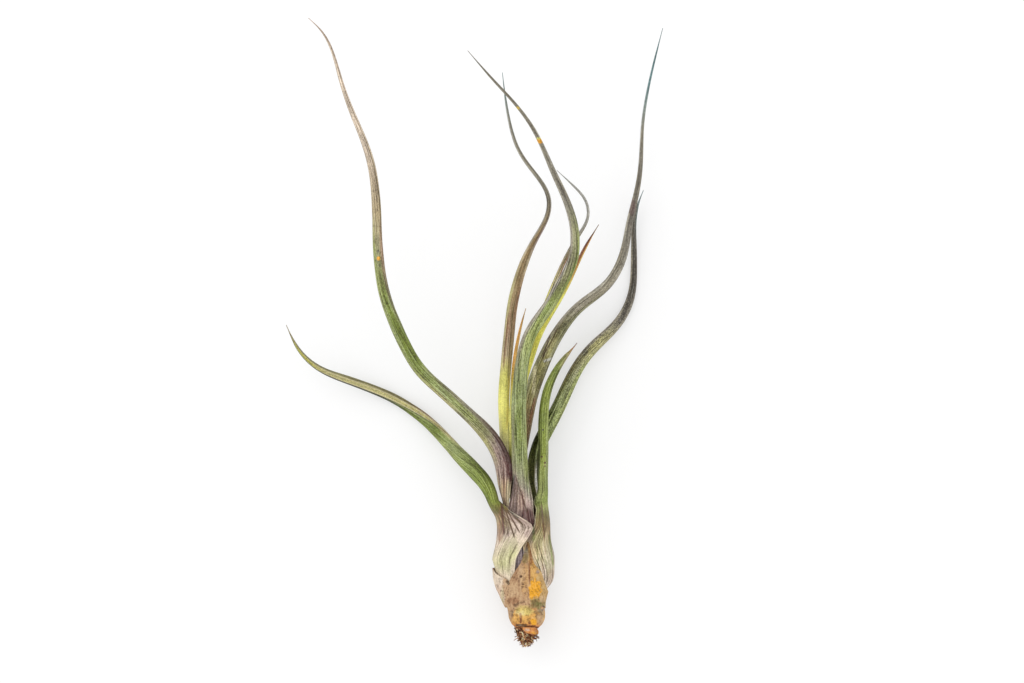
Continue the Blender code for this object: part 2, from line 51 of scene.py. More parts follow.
from dataclasses import dataclass, field, replace
from enum import Enum

import bpy
import numpy as np

LOG = logging.getLogger("air_plant")
MM = 0.001
# The middle of the whole plant in the working frame.
ORIGIN_X = -16.5
ORIGIN_Y = 104.56
# The bulb's long axis lies this high over the table.
AXIS_HEIGHT = 9.9
# The light is this much stronger than what shows a tint as it is written.
EXPOSURE = 1.3
# What turns a written colour into linear light, by the sRGB rule.
WHITE = 255
SRGB_LOW_END = 0.04045
SRGB_LOW_SLOPE = 12.92
SRGB_SHIFT = 0.055
SRGB_POWER = 2.4
ALONG_BULB = np.array([0.0, 1.0, 0.0])
# Where a smooth wave may start, in radians.
WAVE_START = (0.0, 6.28)
DRIFT_START = (0.0, 6.0)
# The hem of a husk draws its own numbers.
HEM_SEED = 100
# Faces that meet at a smaller angle than this look smooth, in degrees.
SMOOTH_LEAF = 50
SMOOTH_STEM = 40
SMOOTH_ROOT = 60

Table = tuple[tuple[float, ...], ...]
Span = tuple[float, float]
Colour = tuple[float, float, float]


class Slot(Enum):
    """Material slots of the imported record."""

    GREEN = "leaf_green"
    MOTTLED = "leaf_mottled"
    DARK = "leaf_dark"
    YELLOW = "leaf_yellow"
    HUSK_TAN = "husk_tan"
    HUSK_PALE = "husk_pale"
    ROOT = "root_brown"


class Tint(Enum):
    """Colours of the plant, as they look in daylight, from 0 to 255. LILAC, BUTTER and PALE_STRAW are
    lighter than the plant itself: painted light that offsets the shade where they are used.
    """

    CREAM = (232, 222, 180)
    KHAKI_CREAM = (210, 202, 156)
    PALE_KHAKI = (194, 186, 142)
    KHAKI = (176, 170, 112)
    APPLE = (156, 164, 96)
    SAGE = (146, 156, 98)
    GREY_GREEN = (140, 138, 98)
    FERN = (130, 144, 64)
    LEAF = (114, 128, 48)
    MOSS = (92, 102, 36)
    LIME = (142, 154, 62)
    DEEP_GREEN = (50, 58, 14)
    OLIVE = (118, 108, 60)
    BRONZE = (146, 122, 82)
    SAND = (184, 166, 128)
    ASH = (172, 166, 150)
    SILVER = (198, 196, 188)
    STONE = (146, 138, 118)
    SLATE = (112, 105, 93)
    CHARCOAL = (80, 74, 64)
    PLUM = (104, 80, 76)
    MAUVE = (154, 132, 122)
    MAROON = (92, 48, 46)
    ROSE_BROWN = (164, 132, 104)
    LEMON = (228, 224, 120)
    YELLOW = (214, 208, 84)
    GOLD = (214, 182, 70)
    AMBER = (240, 170, 40)
    ORANGE = (216, 140, 70)
    RUST = (138, 80, 48)
    HAZEL = (166, 126, 92)
    TAN = (188, 150, 112)
    FAWN = (208, 174, 134)
    HONEY = (224, 170, 90)
    PEAR = (222, 198, 116)
    PINK_BEIGE = (212, 182, 158)
    UMBER = (84, 58, 38)
    STRAW = (198, 160, 98)
    TEAL = (114, 148, 150)
    DUSK_BEIGE = (200, 180, 166)
    # Lighter than the sheath it is used on: painted light that offsets the shade under leaf_01's margin.
    LILAC = (186, 172, 184)
    ROSE_GREY = (188, 163, 153)
    SHELL = (230, 211, 188)
    # Brighter than the leaves' own yellow: painted light that offsets the shade between the inner leaves.
    BUTTER = (252, 246, 138)
    CINNAMON = (206, 152, 98)
    DUSTY_PINK = (206, 188, 166)
    MIST = (220, 222, 212)
    # Paler than any part of the plant: painted light that offsets the shade in leaf_01's groove.
    PALE_STRAW = (252, 244, 182)

    def linear(self) -> Colour:
        """The colour as linear light, less what the strong light adds.

        Returns:
            Its red, green and blue, from 0 to 1.
        """
        parts = []
        for number in self.value:
            part = number / WHITE
            if part < SRGB_LOW_END:
                part = part / SRGB_LOW_SLOPE
            else:
                part = ((part + SRGB_SHIFT) / (1 + SRGB_SHIFT)) ** SRGB_POWER
            parts.append(part / EXPOSURE)
        return tuple(parts)


Stops = tuple[tuple[float, Tint], ...]


# Shader maths


class Value:
    """A shader socket that takes part in sums as a number does."""

    def __init__(self, graph: "Graph", socket: bpy.types.NodeSocket) -> None:
        """Wrap a socket.

        Args:
            graph: the node tree that the socket is in.
            socket: the output that carries the value.
        """
        self.graph = graph
        self.socket = socket

    def __add__(self, other: "Value | float") -> "Value":
        """Sum."""
        return self.graph.math("ADD", self, other)

    def __sub__(self, other: "Value | float") -> "Value":
        """Difference."""
        return self.graph.math("SUBTRACT", self, other)

    def __rsub__(self, other: float) -> "Value":
        """A number less this value."""
        return self.graph.math("SUBTRACT", other, self)

    def __mul__(self, other: "Value | float") -> "Value":
        """Product."""
        return self.graph.math("MULTIPLY", self, other)

    __radd__ = __add__
    __rmul__ = __mul__


class Graph:
    """The node tree of one material."""

    # Numbers of the sockets that several kinds of data share one name for.
    MIX_FACTOR = 0
    MIX_FIRST = 6
    MIX_SECOND = 7
    MIX_RESULT = 2
    SCALED_VECTOR = 0
    SCALE = 3

    def __init__(self, name: str) -> None:
        """Make an empty material.

        Args:
            name: the material's name.
        """
        self.material = bpy.data.materials.new(name)
        self.material.use_nodes = True
        self.tree = self.material.node_tree
        self.shader = self.tree.nodes["Principled BSDF"]
        self.maps: dict[str, tuple[Value, Value]] = {}

    def feed(self, socket: bpy.types.NodeSocket, value: object) -> None:
        """Link a value or a socket to an input, or set a plain number on it.

        Args:
            socket: the input.
            value: what it gets.
        """
        if isinstance(value, Value):
            self.tree.links.new(value.socket, socket)
        elif isinstance(value, bpy.types.NodeSocket):
            self.tree.links.new(value, socket)
        else:
            socket.default_value = value

    def node(self, kind: str, settings: dict | None = None, inputs: dict | None = None) -> bpy.types.Node:
        """Add a node.

        Args:
            kind: the node's type.
            settings: its settings, with a ramp's stops under "stops".
            inputs: values or links of its sockets, by name or number.

        Returns:
            The node.
        """
        made = self.tree.nodes.new(kind)
        for key, value in (settings or {}).items():
            if key == "stops":
                self.set_stops(made.color_ramp, value)
            else:
                setattr(made, key, value)
        for key, value in (inputs or {}).items():
            self.feed(made.inputs[key], value)
        return made

    @staticmethod
    def set_stops(ramp: bpy.types.ColorRamp, stops: list[tuple[float, Colour]]) -> None:
        """Give a ramp its stops, from the lowest place to the highest.

        Args:
            ramp: the colour ramp.
            stops: places from 0 to 1, each with its colour.
        """
        while len(ramp.elements) < len(stops):
            ramp.elements.new(1.0)
        while len(ramp.elements) > len(stops):
            ramp.elements.remove(ramp.elements[-1])
        for element, (place, colour) in zip(ramp.elements, sorted(stops, key=lambda stop: stop[0])):
            element.position = min(max(place, 0.0), 1.0)
            element.color = (*colour, 1.0)

    def math(self, operation: str, *values: "Value | float") -> Value:
        """A Math node on values and numbers."""
        made = self.node("ShaderNodeMath", {"operation": operation}, dict(enumerate(values)))
        return Value(self, made.outputs[0])

    def step(self, value: Value, low: float, high: float) -> Value:
        """Rise smoothly from 0 at low to 1 at high, or fall where low is the larger one.

        Args:
            value: what is read.
            low: where the result is 0.
            high: where the result is 1.

        Returns:
            The result.
        """
        made = self.node(
            "ShaderNodeMapRange",
            {"interpolation_type": "SMOOTHSTEP"},
            {"Value": value, "From Min": low, "From Max": high},
        )
        return Value(self, made.outputs["Result"])

    def mix(self, factor: object, first: object, second: object) -> bpy.types.NodeSocket:
        """Mix two colours.

        Args:
            factor: share of the second one.
            first: the first colour.
            second: the second colour.

        Returns:
            The mixed colour.
        """
        inputs = {self.MIX_FACTOR: factor, self.MIX_FIRST: first, self.MIX_SECOND: second}
        made = self.node("ShaderNodeMix", {"data_type": "RGBA"}, inputs)
        return made.outputs[self.MIX_RESULT]

    def tint(self, tint: Tint) -> tuple[float, float, float, float]:
        """A colour for a colour socket."""
        return (*tint.linear(), 1.0)

    def ramp(self, value: Value, stops: list[tuple[float, Colour]]) -> bpy.types.NodeSocket:
        """A colour read from stops."""
        return self.node("ShaderNodeValToRGB", {"stops": stops}, {"Fac": value}).outputs["Color"]

    def vector(self, x: object, y: object, z: object = 0.0) -> bpy.types.NodeSocket:
        """A vector of three values."""
        return self.node("ShaderNodeCombineXYZ", None, {"X": x, "Y": y, "Z": z}).outputs["Vector"]

    def parts(self, vector: bpy.types.NodeSocket) -> tuple[Value, Value, Value]:
        """The three values of a vector."""
        made = self.node("ShaderNodeSeparateXYZ", None, {"Vector": vector})
        return tuple(Value(self, made.outputs[i]) for i in range(3))

    def noise(
        self, vector: bpy.types.NodeSocket, scale: float, detail: float = 2.0, rough: float = 0.5
    ) -> Value:
        """Noise from 0 to 1, with 0.5 in its middle."""
        inputs = {"Vector": vector, "Scale": scale, "Detail": detail, "Roughness": rough}
        return Value(self, self.node("ShaderNodeTexNoise", None, inputs).outputs["Fac"])

    def uv(self, name: str) -> tuple[Value, Value]:
        """The two values of a UV map, read once for each material.

        Args:
            name: the map's name.

        Returns:
            Its two values.
        """
        if name not in self.maps:
            x, y, _ = self.parts(self.node("ShaderNodeUVMap", {"uv_map": name}).outputs["UV"])
            self.maps[name] = (x, y)
        return self.maps[name]

    def place(self) -> tuple[bpy.types.NodeSocket, Value, Value]:
        """Where a point is.

        Returns:
            Its object coordinates, and its x and y as millimetres in the working frame.
        """
        source = self.node("ShaderNodeTexCoord").outputs["Object"]
        x, y, _ = self.parts(source)
        return source, x * (1 / MM) + ORIGIN_X, y * (1 / MM) + ORIGIN_Y

    def darker(self, colour: bpy.types.NodeSocket, share: Value | float) -> bpy.types.NodeSocket:
        """A colour times a value."""
        inputs = {self.SCALED_VECTOR: colour, self.SCALE: share}
        return self.node("ShaderNodeVectorMath", {"operation": "SCALE"}, inputs).outputs[0]

    def finish(
        self, colour: object, roughness: object, height: Value, depth: float, **constants: float
    ) -> None:
        """Set the main sockets of the shader.

        Args:
            colour: Base Color.
            roughness: Roughness.
            height: what the bump follows, from 0 to 1.
            depth: how deep the bump is, in millimetres.
            constants: other sockets that hold one number, with _ for each space.
        """
        self.feed(self.shader.inputs["Base Color"], colour)
        self.feed(self.shader.inputs["Roughness"], roughness)
        inputs = {"Strength": 1.0, "Distance": depth * MM, "Height": height}
        bump = self.node("ShaderNodeBump", None, inputs)
        self.feed(self.shader.inputs["Normal"], bump.outputs["Normal"])
        for name, number in constants.items():
            self.shader.inputs[name.replace("_", " ")].default_value = number


# Marks on a surface


@dataclass(frozen=True)
class Spot:
    """A soft oval patch on the upper side, at a place in the working frame.

    wide and long are its half width and half length.
    """

    x: float
    y: float
    wide: float
    long: float
    tint: Tint
    strength: float = 1.0
    ragged: float = 0.4
    soft: float = 0.3

    def mask(self, graph: Graph, x: Value, y: Value, rough: Value) -> Value:
        """Where the patch lies.

        Args:
            graph: the material's node tree.
            x: sideways place in the working frame.
            y: place along the plant.
            rough: noise that makes the edge ragged.

        Returns:
            A mask from 0 to 1, times the strength.
        """
        across = (x - self.x) * (1 / self.wide)
        along = (y - self.y) * (1 / self.long)
        reach = across * across + along * along + (rough - 0.5) * (2 * self.ragged)
        return graph.step(reach, 1 + self.soft, 1 - self.soft) * self.strength


@dataclass(frozen=True)
class Panel:
    """A patch on the upper side with straight edges.

    Each edge runs from (x1, y1) to (x2, y2), and the patch lies on its left.
    """

    edges: Table
    tint: Tint
    strength: float = 1.0
    ragged: float = 0.4
    soft: float = 0.3

    def mask(self, graph: Graph, x: Value, y: Value, rough: Value) -> Value:
        """Where the patch lies.

        Args:
            graph: the material's node tree.
            x: sideways place in the working frame.
            y: place along the plant.
            rough: noise that makes the edge ragged.

        Returns:
            A mask from 0 to 1, times the strength.
        """
        inside = None
        for x1, y1, x2, y2 in self.edges:
            length = math.hypot(x2 - x1, y2 - y1)
            normal_x = -(y2 - y1) / length
            normal_y = (x2 - x1) / length
            start = normal_x * x1 + normal_y * y1
            reach = x * normal_x + y * normal_y - start + (rough - 0.5) * (2 * self.ragged)
            side = graph.step(reach, -self.soft, self.soft)
            inside = side if inside is None else inside * side
        return inside * self.strength


@dataclass(frozen=True)
class Line:
    """A thin streak or crack on the upper side, from one place to another.

    wide is its half width. outer and core are where it ends and where it is full, as shares
    of that, and end_fade is how far from its middle it is full along its length.
    """

    x1: float
    y1: float
    x2: float
    y2: float
    wide: float
    tint: Tint
    strength: float = 1.0
    ragged: float = 0.25
    outer: float = 1.3
    core: float = 0.5
    end_fade: float = 0.35

    def mask(self, graph: Graph, x: Value, y: Value, rough: Value) -> Value:
        """Where the streak lies.

        Args:
            graph: the material's node tree.
            x: sideways place in the working frame.
            y: place along the plant.
            rough: noise that makes the edge ragged.

        Returns:
            A mask from 0 to 1, times the strength.
        """
        length = math.hypot(self.x2 - self.x1, self.y2 - self.y1)
        way_x = (self.x2 - self.x1) / length
        way_y = (self.y2 - self.y1) / length
        across = (x - self.x1) * (-way_y / self.wide) + (y - self.y1) * (way_x / self.wide)
        along = (x - self.x1) * (way_x / length) + (y - self.y1) * (way_y / length) - 0.5
        reach = graph.math("ABSOLUTE", across + (rough - 0.5) * (2 * self.ragged))
        ends = graph.step(graph.math("ABSOLUTE", along), 0.5, self.end_fade)
        return graph.step(reach, self.outer, self.core) * ends * self.strength


Mark = Spot | Panel | Line


# Shapes


def smooth_curve(xs: object, ys: object, at: object) -> np.ndarray:
    """Read a curve through points with no overshoot between them.

    Args:
        xs: places of the points, rising.
        ys: values there.
        at: places to read.

    Returns:
        The values at those places.
    """
    xs = np.asarray(xs, float)
    ys = np.asarray(ys, float)
    steps = np.diff(xs)
    slopes = np.diff(ys) / steps
    tangents = np.zeros(len(xs))
    tangents[0] = slopes[0]
    tangents[-1] = slopes[-1]
    for i in range(1, len(xs) - 1):
        if slopes[i - 1] * slopes[i] > 0:
            weight_a = 2 * steps[i] + steps[i - 1]
            weight_b = steps[i] + 2 * steps[i - 1]
            total = weight_a + weight_b
            tangents[i] = total / (weight_a / slopes[i - 1] + weight_b / slopes[i])
    at = np.clip(np.asarray(at, float), xs[0], xs[-1])
    index = np.clip(np.searchsorted(xs, at, side="right") - 1, 0, len(xs) - 2)
    step = steps[index]
    t = (at - xs[index]) / step
    blend = t * t * (3 - 2 * t)
    turns = step * (t * (1 - t) ** 2 * tangents[index] - t * t * (1 - t) * tangents[index + 1])
    return ys[index] * (1 - blend) + ys[index + 1] * blend + turns


def natural_spline(xs: np.ndarray, points: np.ndarray, at: np.ndarray) -> tuple[np.ndarray, np.ndarray]:
    """Read a natural cubic spline through points in space.

    Args:
        xs: places of the points along the curve.
        points: the points.
        at: places to read.

    Returns:
        The points at those places, and the direction of the curve there.
    """
    steps = np.diff(xs)[:, None]
    slopes = np.diff(points, axis=0) / steps
    count = len(xs)
    system = np.eye(count)
    right = np.zeros_like(points)
    for i in range(1, count - 1):
        system[i, i - 1] = steps[i - 1, 0]
        system[i, i] = 2 * (steps[i - 1, 0] + steps[i, 0])
        system[i, i + 1] = steps[i, 0]
        right[i] = 6 * (slopes[i] - slopes[i - 1])
    second = np.linalg.solve(system, right)
    index = np.clip(np.searchsorted(xs, at, side="right") - 1, 0, count - 2)
    step = steps[index]
    a = (xs[index + 1] - at)[:, None]
    b = (at - xs[index])[:, None]
    low = second[index]
    high = second[index + 1]
    place = low * a**3 / (6 * step) + high * b**3 / (6 * step)
    place += (points[index] / step - low * step / 6) * a
    place += (points[index + 1] / step - high * step / 6) * b
    way = -low * a**2 / (2 * step) + high * b**2 / (2 * step)
    way += slopes[index] - (high - low) * step / 6
    return place, way


def ramp(value: object, start: float, end: float) -> np.ndarray:
    """Rise smoothly from 0 to 1 as a value goes from start to end."""
    t = np.clip((np.asarray(value, float) - start) / (end - start), 0.0, 1.0)
    return t * t * (3 - 2 * t)


def unit(vectors: np.ndarray) -> np.ndarray:
    """Vectors of length 1."""
    return vectors / np.linalg.norm(vectors, axis=-1, keepdims=True)


def azimuth_directions(azimuths: np.ndarray, along: np.ndarray) -> np.ndarray:
    """Directions square to lines, turned round them from straight up toward the right.

    Args:
        azimuths: angles in degrees.
        along: directions of the lines, of length 1.

    Returns:
        One direction for each line.
    """
    up = np.array([0.0, 0.0, 1.0]) - along * along[..., 2:3]
    up = unit(up)
    side = np.cross(along, up)
    angles = np.radians(np.asarray(azimuths, float))[..., None]
    return up * np.cos(angles) + side * np.sin(angles)


class Bulb:
    """The bulb as a whole: its outline, and how its sheaths nest."""

    outline: Table = (
        (6.0, 4.4), (8.7, 5.5), (10.7, 6.2), (13.5, 6.8), (16.7, 7.8), (20.7, 9.6), (24.7, 10.5),
        (28.7, 10.6), (32.7, 9.9), (36.7, 9.2), (40.7, 9.1), (46.0, 8.7), (52.0, 8.4),
    )
    axis: Table = ((8.0, 1.0), (12.0, 0.9), (16.0, 0.0), (60.0, 0.0))
    pitch = 1.05
    husk_depth = 1.0
    husk_cover_end = 26.5
    full_start = 30.0

    @classmethod
    def radius(cls, y: object, level: float) -> np.ndarray:
        """Outer radius of the sheaths of one level, which are set in below the husks.

        Args:
            y: places along the bulb.
            level: how many layers lie outside, with -0.95 for a husk.

        Returns:
            The radius at those places.
        """
        whole = smooth_curve([row[0] for row in cls.outline], [row[1] for row in cls.outline], y)
        tuck = cls.husk_depth * (1 - ramp(y, cls.husk_cover_end, cls.full_start))
        return whole - tuck - level * cls.pitch

    @classmethod
    def middle(cls, y: np.ndarray) -> np.ndarray:
        """Points of the bulb's axis."""
        x = smooth_curve([row[0] for row in cls.axis], [row[1] for row in cls.axis], y)
        return np.stack([x, y, np.full_like(x, AXIS_HEIGHT)], axis=1)


@dataclass(frozen=True)
class Sheath:
    """The part of a leaf, or a husk, that wraps the bulb.

    margins holds (y, left azimuth, right azimuth), and swell holds (y, how far the
    sheath's own middle is shifted, how much smaller its radius is). The shift is toward
    swell_azimuth, or toward the sheath's azimuth where none is given.
    """

    level: float
    azimuth: float
    margins: Table
    swell: Table = ((0.0, 0.0, 0.0), (60.0, 0.0, 0.0))
    swell_azimuth: float | None = None
    wall: float = 0.65
    rings: tuple[float, ...] = (13.6, 16.4, 19.4, 22.4, 25.4, 28.4, 31.0, 34.0, 37.0, 40.3, 43.5, 46.0)

    def sections(self) -> dict[str, np.ndarray]:
        """Cross-sections from the foot of the sheath to its top.

        Returns:
            For each cross-section the point on the back, one divided by the radius, the
            lengths of the arc to the left and the right, the azimuth, the thickness of the
            wall, and how far it leans from the bulb's axis to the leaf's own line.
        """
        places = [row[0] for row in self.margins]
        ys = np.array(sorted(set(places) | {y for y in self.rings if places[0] < y < places[-1]}))
        left = smooth_curve(places, [row[1] for row in self.margins], ys)
        right = smooth_curve(places, [row[2] for row in self.margins], ys)
        shift = smooth_curve([row[0] for row in self.swell], [row[1] for row in self.swell], ys)
        cut = smooth_curve([row[0] for row in self.swell], [row[2] for row in self.swell], ys)
        radius = Bulb.radius(ys, self.level) - cut
        along = np.tile(ALONG_BULB, (len(ys), 1))
        outward = azimuth_directions(np.full(len(ys), self.azimuth), along)
        shift_azimuth = self.azimuth if self.swell_azimuth is None else self.swell_azimuth
        shift_way = azimuth_directions(np.full(len(ys), shift_azimuth), along)
        return {
            "back": Bulb.middle(ys) + outward * radius[:, None] + shift_way * shift[:, None],
            "bend": 1 / radius,
            "left": radius * np.radians(self.azimuth - left),
            "right": radius * np.radians(right - self.azimuth),
            "facing": np.full(len(ys), self.azimuth),
            "wall": np.full(len(ys), self.wall),
            "lean": np.zeros(len(ys)),
        }


@dataclass(frozen=True)
class Blade:
    """The free part of a leaf: rows of (x, y, z, width, facing) along its middle.

    roll holds (share of the blade's length, degrees that it is rolled to each side).
    """

    route: Table
    roll: Table = ((0.0, 92.0), (0.2, 150.0), (0.3, 170.0), (1.0, 171.0))
    wall: float = 0.9
    wall_share: float = 0.8
    neck_lean: float = 0.5

    def sections(self) -> dict[str, np.ndarray]:
        """Cross-sections from the neck to the tip.

        Returns:
            The same values as for a sheath.
        """
        rows = np.array(self.route)
        middles = rows[:, :3]
        lengths = np.concatenate([[0], np.cumsum(np.linalg.norm(np.diff(middles, axis=0), axis=1))])
        lean = np.ones(len(rows))
        lean[0] = self.neck_lean
        along = unit(np.gradient(middles, lengths, axis=0))
        way = unit(ALONG_BULB * (1 - lean)[:, None] + along * lean[:, None])
        radius = rows[:, 3] / 2
        share = lengths / lengths[-1]
        roll = smooth_curve([row[0] for row in self.roll], [row[1] for row in self.roll], share)
        outward = azimuth_directions(rows[:, 4], way)
        half = radius * np.radians(roll)
        return {
            "back": middles + outward * radius[:, None],
            "bend": 1 / radius,
            "left": half,
            "right": half,
            "facing": rows[:, 4],
            "wall": np.minimum(self.wall, self.wall_share * radius),
            "lean": lean,
        }


@dataclass
class Strip:
    """A leaf or husk as a fine solid sheet, with rings of points across it."""

    name: str
    node: str
    sheath: Sheath
    blade: Blade | None
    across: int = 64
    ring_step: float = 1.2
    fewest_rings: int = 8
    ribs: float = 14.0
    rib_depth: float = 0.045
    margin_thin: float = 0.65
    groove: Table = ()
    hem: float = 0.0
    tip: float = 0.4
    tip_start: float = 0.94
    margin_start: float = 0.78
    groove_floor: float = 0.5
    groove_width: float = 0.86
    table_wall: float = 0.6
    rib_radius: float = 2.4
    rib_end: float = 0.9
    rib_drift: float = 0.35
    rib_drift_run: float = 17.0
    waves: Table = ((11.0, 0.07), (5.3, 0.04))
    wave_skew: tuple[float, float] = (2.0, 5.0)
    hem_waves: tuple[float, ...] = (3.0, 7.0, 13.0, 23.0)
    hem_reach: float = 3.0
    seed: int = 1
    relief: tuple["Crease", ...] = ()
    points: dict[str, np.ndarray] = field(default_factory=dict)

    def rings(self) -> None:
        """Work out the points of both faces and what the materials read there."""
        rows = self.sheath.sections()
        if self.blade is not None:
            more = self.blade.sections()
            rows = {key: np.concatenate([rows[key], more[key]]) for key in rows}
        backs = rows["back"]
        places = np.concatenate([[0], np.cumsum(np.linalg.norm(np.diff(backs, axis=0), axis=1))])
        length = places[-1]
        at = np.linspace(0, length, max(self.fewest_rings, round(length / self.ring_step)) + 1)
        back, way = natural_spline(places, backs, at)
        value = {key: smooth_curve(places, rows[key], at) for key in rows if key != "back"}
        lean = value["lean"][:, None]
        along = unit(ALONG_BULB * (1 - lean) + unit(way) * lean)
        outward = azimuth_directions(value["facing"], along)
        side = np.cross(along, outward)
        radius = 1 / value["bend"]
        middle = back - outward * radius[:, None]
        if self.blade is not None:
            thin = 1 - (1 - self.tip) * ramp(at / length, self.tip_start, 1.0)
            radius = radius * thin
            value["wall"] = value["wall"] * thin
            value["left"] = value["left"] * thin
            value["right"] = value["right"] * thin
            value["bend"] = 1 / radius
        share = np.linspace(-1, 1, self.across + 1)
        start = -value["left"] * value["bend"]
        end = value["right"] * value["bend"]
        angles = start[:, None] + (end - start)[:, None] * (share + 1) / 2
        direction = outward[:, None] * np.cos(angles)[..., None] + side[:, None] * np.sin(angles)[..., None]
        edge = ramp(np.abs(share), self.margin_start, 1.0)
        azimuth = np.radians(value["facing"])[:, None] + angles
        lift = self.lift(share, at, radius, azimuth, back[:, 1])
        wall = value["wall"][:, None] * (1 - self.margin_thin * edge)
        outer = middle[:, None] + direction * (radius[:, None] + lift)[..., None]
        inner = middle[:, None] + direction * (radius[:, None] + lift - wall)[..., None]
        if self.groove:
            places = [row[0] for row in self.groove]
            depths = [row[1] for row in self.groove]
            depth = smooth_curve(places, depths, middle[:, 1])[:, None, None]
            rim = -radius * np.cos(end)
            floor = rim - radius * self.groove_floor
            high = floor[:, None] + (rim - floor)[:, None] * share**2
            across = (radius * np.sin(end))[:, None] * share * self.groove_width
            shallow = middle[:, None] + side[:, None] * across[..., None]
            shallow = shallow - outward[:, None] * high[..., None]
            inner = inner + (shallow - inner) * depth
        if self.hem:
            ragged = self.ragged_hem(share, at)
            outer = outer + ALONG_BULB * ragged[..., None]
            inner = inner + ALONG_BULB * ragged[..., None]
        outer[..., 2] = np.maximum(outer[..., 2], 0.0)
        inner[..., 2] = np.maximum(inner[..., 2], wall * self.table_wall)
        self.points = {
            "outer": outer,
            "inner": inner,
            "across": np.broadcast_to((share + 1) / 2, angles.shape),
            "along": np.broadcast_to(at[:, None] / length, angles.shape),
            "side": np.sin(azimuth) / 2 + 0.5,
            "up": np.cos(azimuth) / 2 + 0.5,
            "centre_y": middle[:, 1],
            "length": np.array([length]),
        }

    def lift(
        self, share: np.ndarray, at: np.ndarray, radius: np.ndarray, azimuth: np.ndarray, y: np.ndarray
    ) -> np.ndarray:
        """How far the surface stands out from its plain form: ribs, slow waves and creases.

        Args:
            share: places across, from -1 to 1.
            at: places along, in millimetres.
            radius: radius of each ring.
            azimuth: azimuth of each point, in radians.
            y: place of each ring along the bulb.

        Returns:
            Millimetres outward for each point.
        """
        draw = random.Random(self.seed)
        size = np.clip(radius / self.rib_radius, 0.0, 1.0)[:, None]
        fade = 1 - ramp(np.abs(share), self.rib_end, 1.0)
        drift = self.rib_drift * np.sin(at[:, None] / self.rib_drift_run + draw.uniform(*DRIFT_START))
        lift = self.rib_depth * np.cos(math.pi * self.ribs * share + drift) * fade * size
        for wave, depth in self.waves:
            turn = draw.uniform(*WAVE_START)
            skew = share * draw.uniform(*self.wave_skew)
            lift = lift + depth * size * np.sin(at[:, None] / wave * 2 + turn + skew)
        for crease in self.relief:
            lift = lift + crease.lift(azimuth, y[:, None])
        return lift

    def ragged_hem(self, share: np.ndarray, at: np.ndarray) -> np.ndarray:
        """How far the torn foot of a husk runs up or down.

        Args:
            share: places across, from -1 to 1.
            at: places along, in millimetres.

        Returns:
            Millimetres along the bulb for each point.
        """
        draw = random.Random(self.seed + HEM_SEED)
        wave = np.zeros_like(share)
        for count in self.hem_waves:
            wave = wave + np.sin(share * count + draw.uniform(*WAVE_START)) / math.sqrt(count)
        fade = 1 - ramp(at, 0.0, self.hem_reach * self.hem)
        return self.hem * wave[None, :] * fade[:, None]

    def share_at(self, y: float) -> float:
        """Share of the strip's length at a place along the plant."""
        ys = np.maximum.accumulate(self.points["centre_y"])
        return float(np.interp(y, ys, self.points["along"][:, 0]))

    def build(self) -> bpy.types.Object:
        """Make the solid: a grid that is moved onto the outer face and given its wall.

        Returns:
            The mesh object, with one material slot for each face.
        """
        self.rings()
        rows, columns = self.points["across"].shape
        bpy.ops.object.select_all(action="DESELECT")
        bpy.ops.mesh.primitive_grid_add(x_subdivisions=columns - 1, y_subdivisions=rows - 1, size=1.0)
        piece = bpy.context.object
        piece.name = self.name
        mesh = piece.data
        mesh.name = self.name
        flat = np.zeros(len(mesh.vertices) * 3)
        mesh.vertices.foreach_get("co", flat)
        flat = flat.reshape(-1, 3).round(6)
        order = np.lexsort((flat[:, 0], flat[:, 1]))
        for _ in ("outer face", "inner face"):
            mesh.materials.append(None)
        solidify = piece.modifiers.new("wall", "SOLIDIFY")
        solidify.thickness = MM
        solidify.offset = -1.0
        solidify.material_offset = 1
        bpy.ops.object.modifier_apply(modifier=solidify.name)
        count = len(order)
        spots = np.zeros((2 * count, 3))
        for offset, face in ((0, "outer"), (count, "inner")):
            spots[offset + order] = self.points[face].reshape(-1, 3)
        spots = (spots - (ORIGIN_X, ORIGIN_Y, 0.0)) * MM
        mesh.vertices.foreach_set("co", spots.ravel())
        self.write_uv(mesh, order)
        mesh.update()
        bpy.ops.object.shade_smooth_by_angle(angle=math.radians(SMOOTH_LEAF))
        return piece

    def write_uv(self, mesh: bpy.types.Mesh, order: np.ndarray) -> None:
        """Write the two UV maps: Lengthwise (across, along) and Round (side, up).

        Args:
            mesh: the strip's mesh.
            order: the grid's points, row by row.
        """
        corners = np.zeros(len(mesh.loops), int)
        mesh.loops.foreach_get("vertex_index", corners)
        while mesh.uv_layers:
            mesh.uv_layers.remove(mesh.uv_layers[0])
        for name, first, second in (("Lengthwise", "across", "along"), ("Round", "side", "up")):
            layer = mesh.uv_layers.new(name=name)
            count = len(order)
            values = np.zeros((2 * count, 2))
            for column, key in enumerate((first, second)):
                for offset in (0, count):
                    values[offset + order, column] = self.points[key].ravel()
            layer.data.foreach_set("uv", values[corners].ravel())


@dataclass(frozen=True)
class Crease:
    """A ridge (positive depth) or furrow on a bulb surface, at an azimuth and a place."""

    azimuth: float
    y: float
    wide: float
    long: float
    depth: float

    def lift(self, azimuth: np.ndarray, y: np.ndarray) -> np.ndarray:
        """How far it stands out.

        Args:
            azimuth: azimuth of each point, in radians.
            y: place of each point along the bulb.

        Returns:
            Millimetres outward at each point.
        """
        turn = (np.degrees(azimuth) - self.azimuth) / self.wide
        run = (y - self.y) / self.long
        return self.depth * np.exp(-(turn**2) - run**2)


# Finishes

# A surface counts as the upper side from the first of these numbers to the second.
TOP_SIDE = (0.42, 0.55)


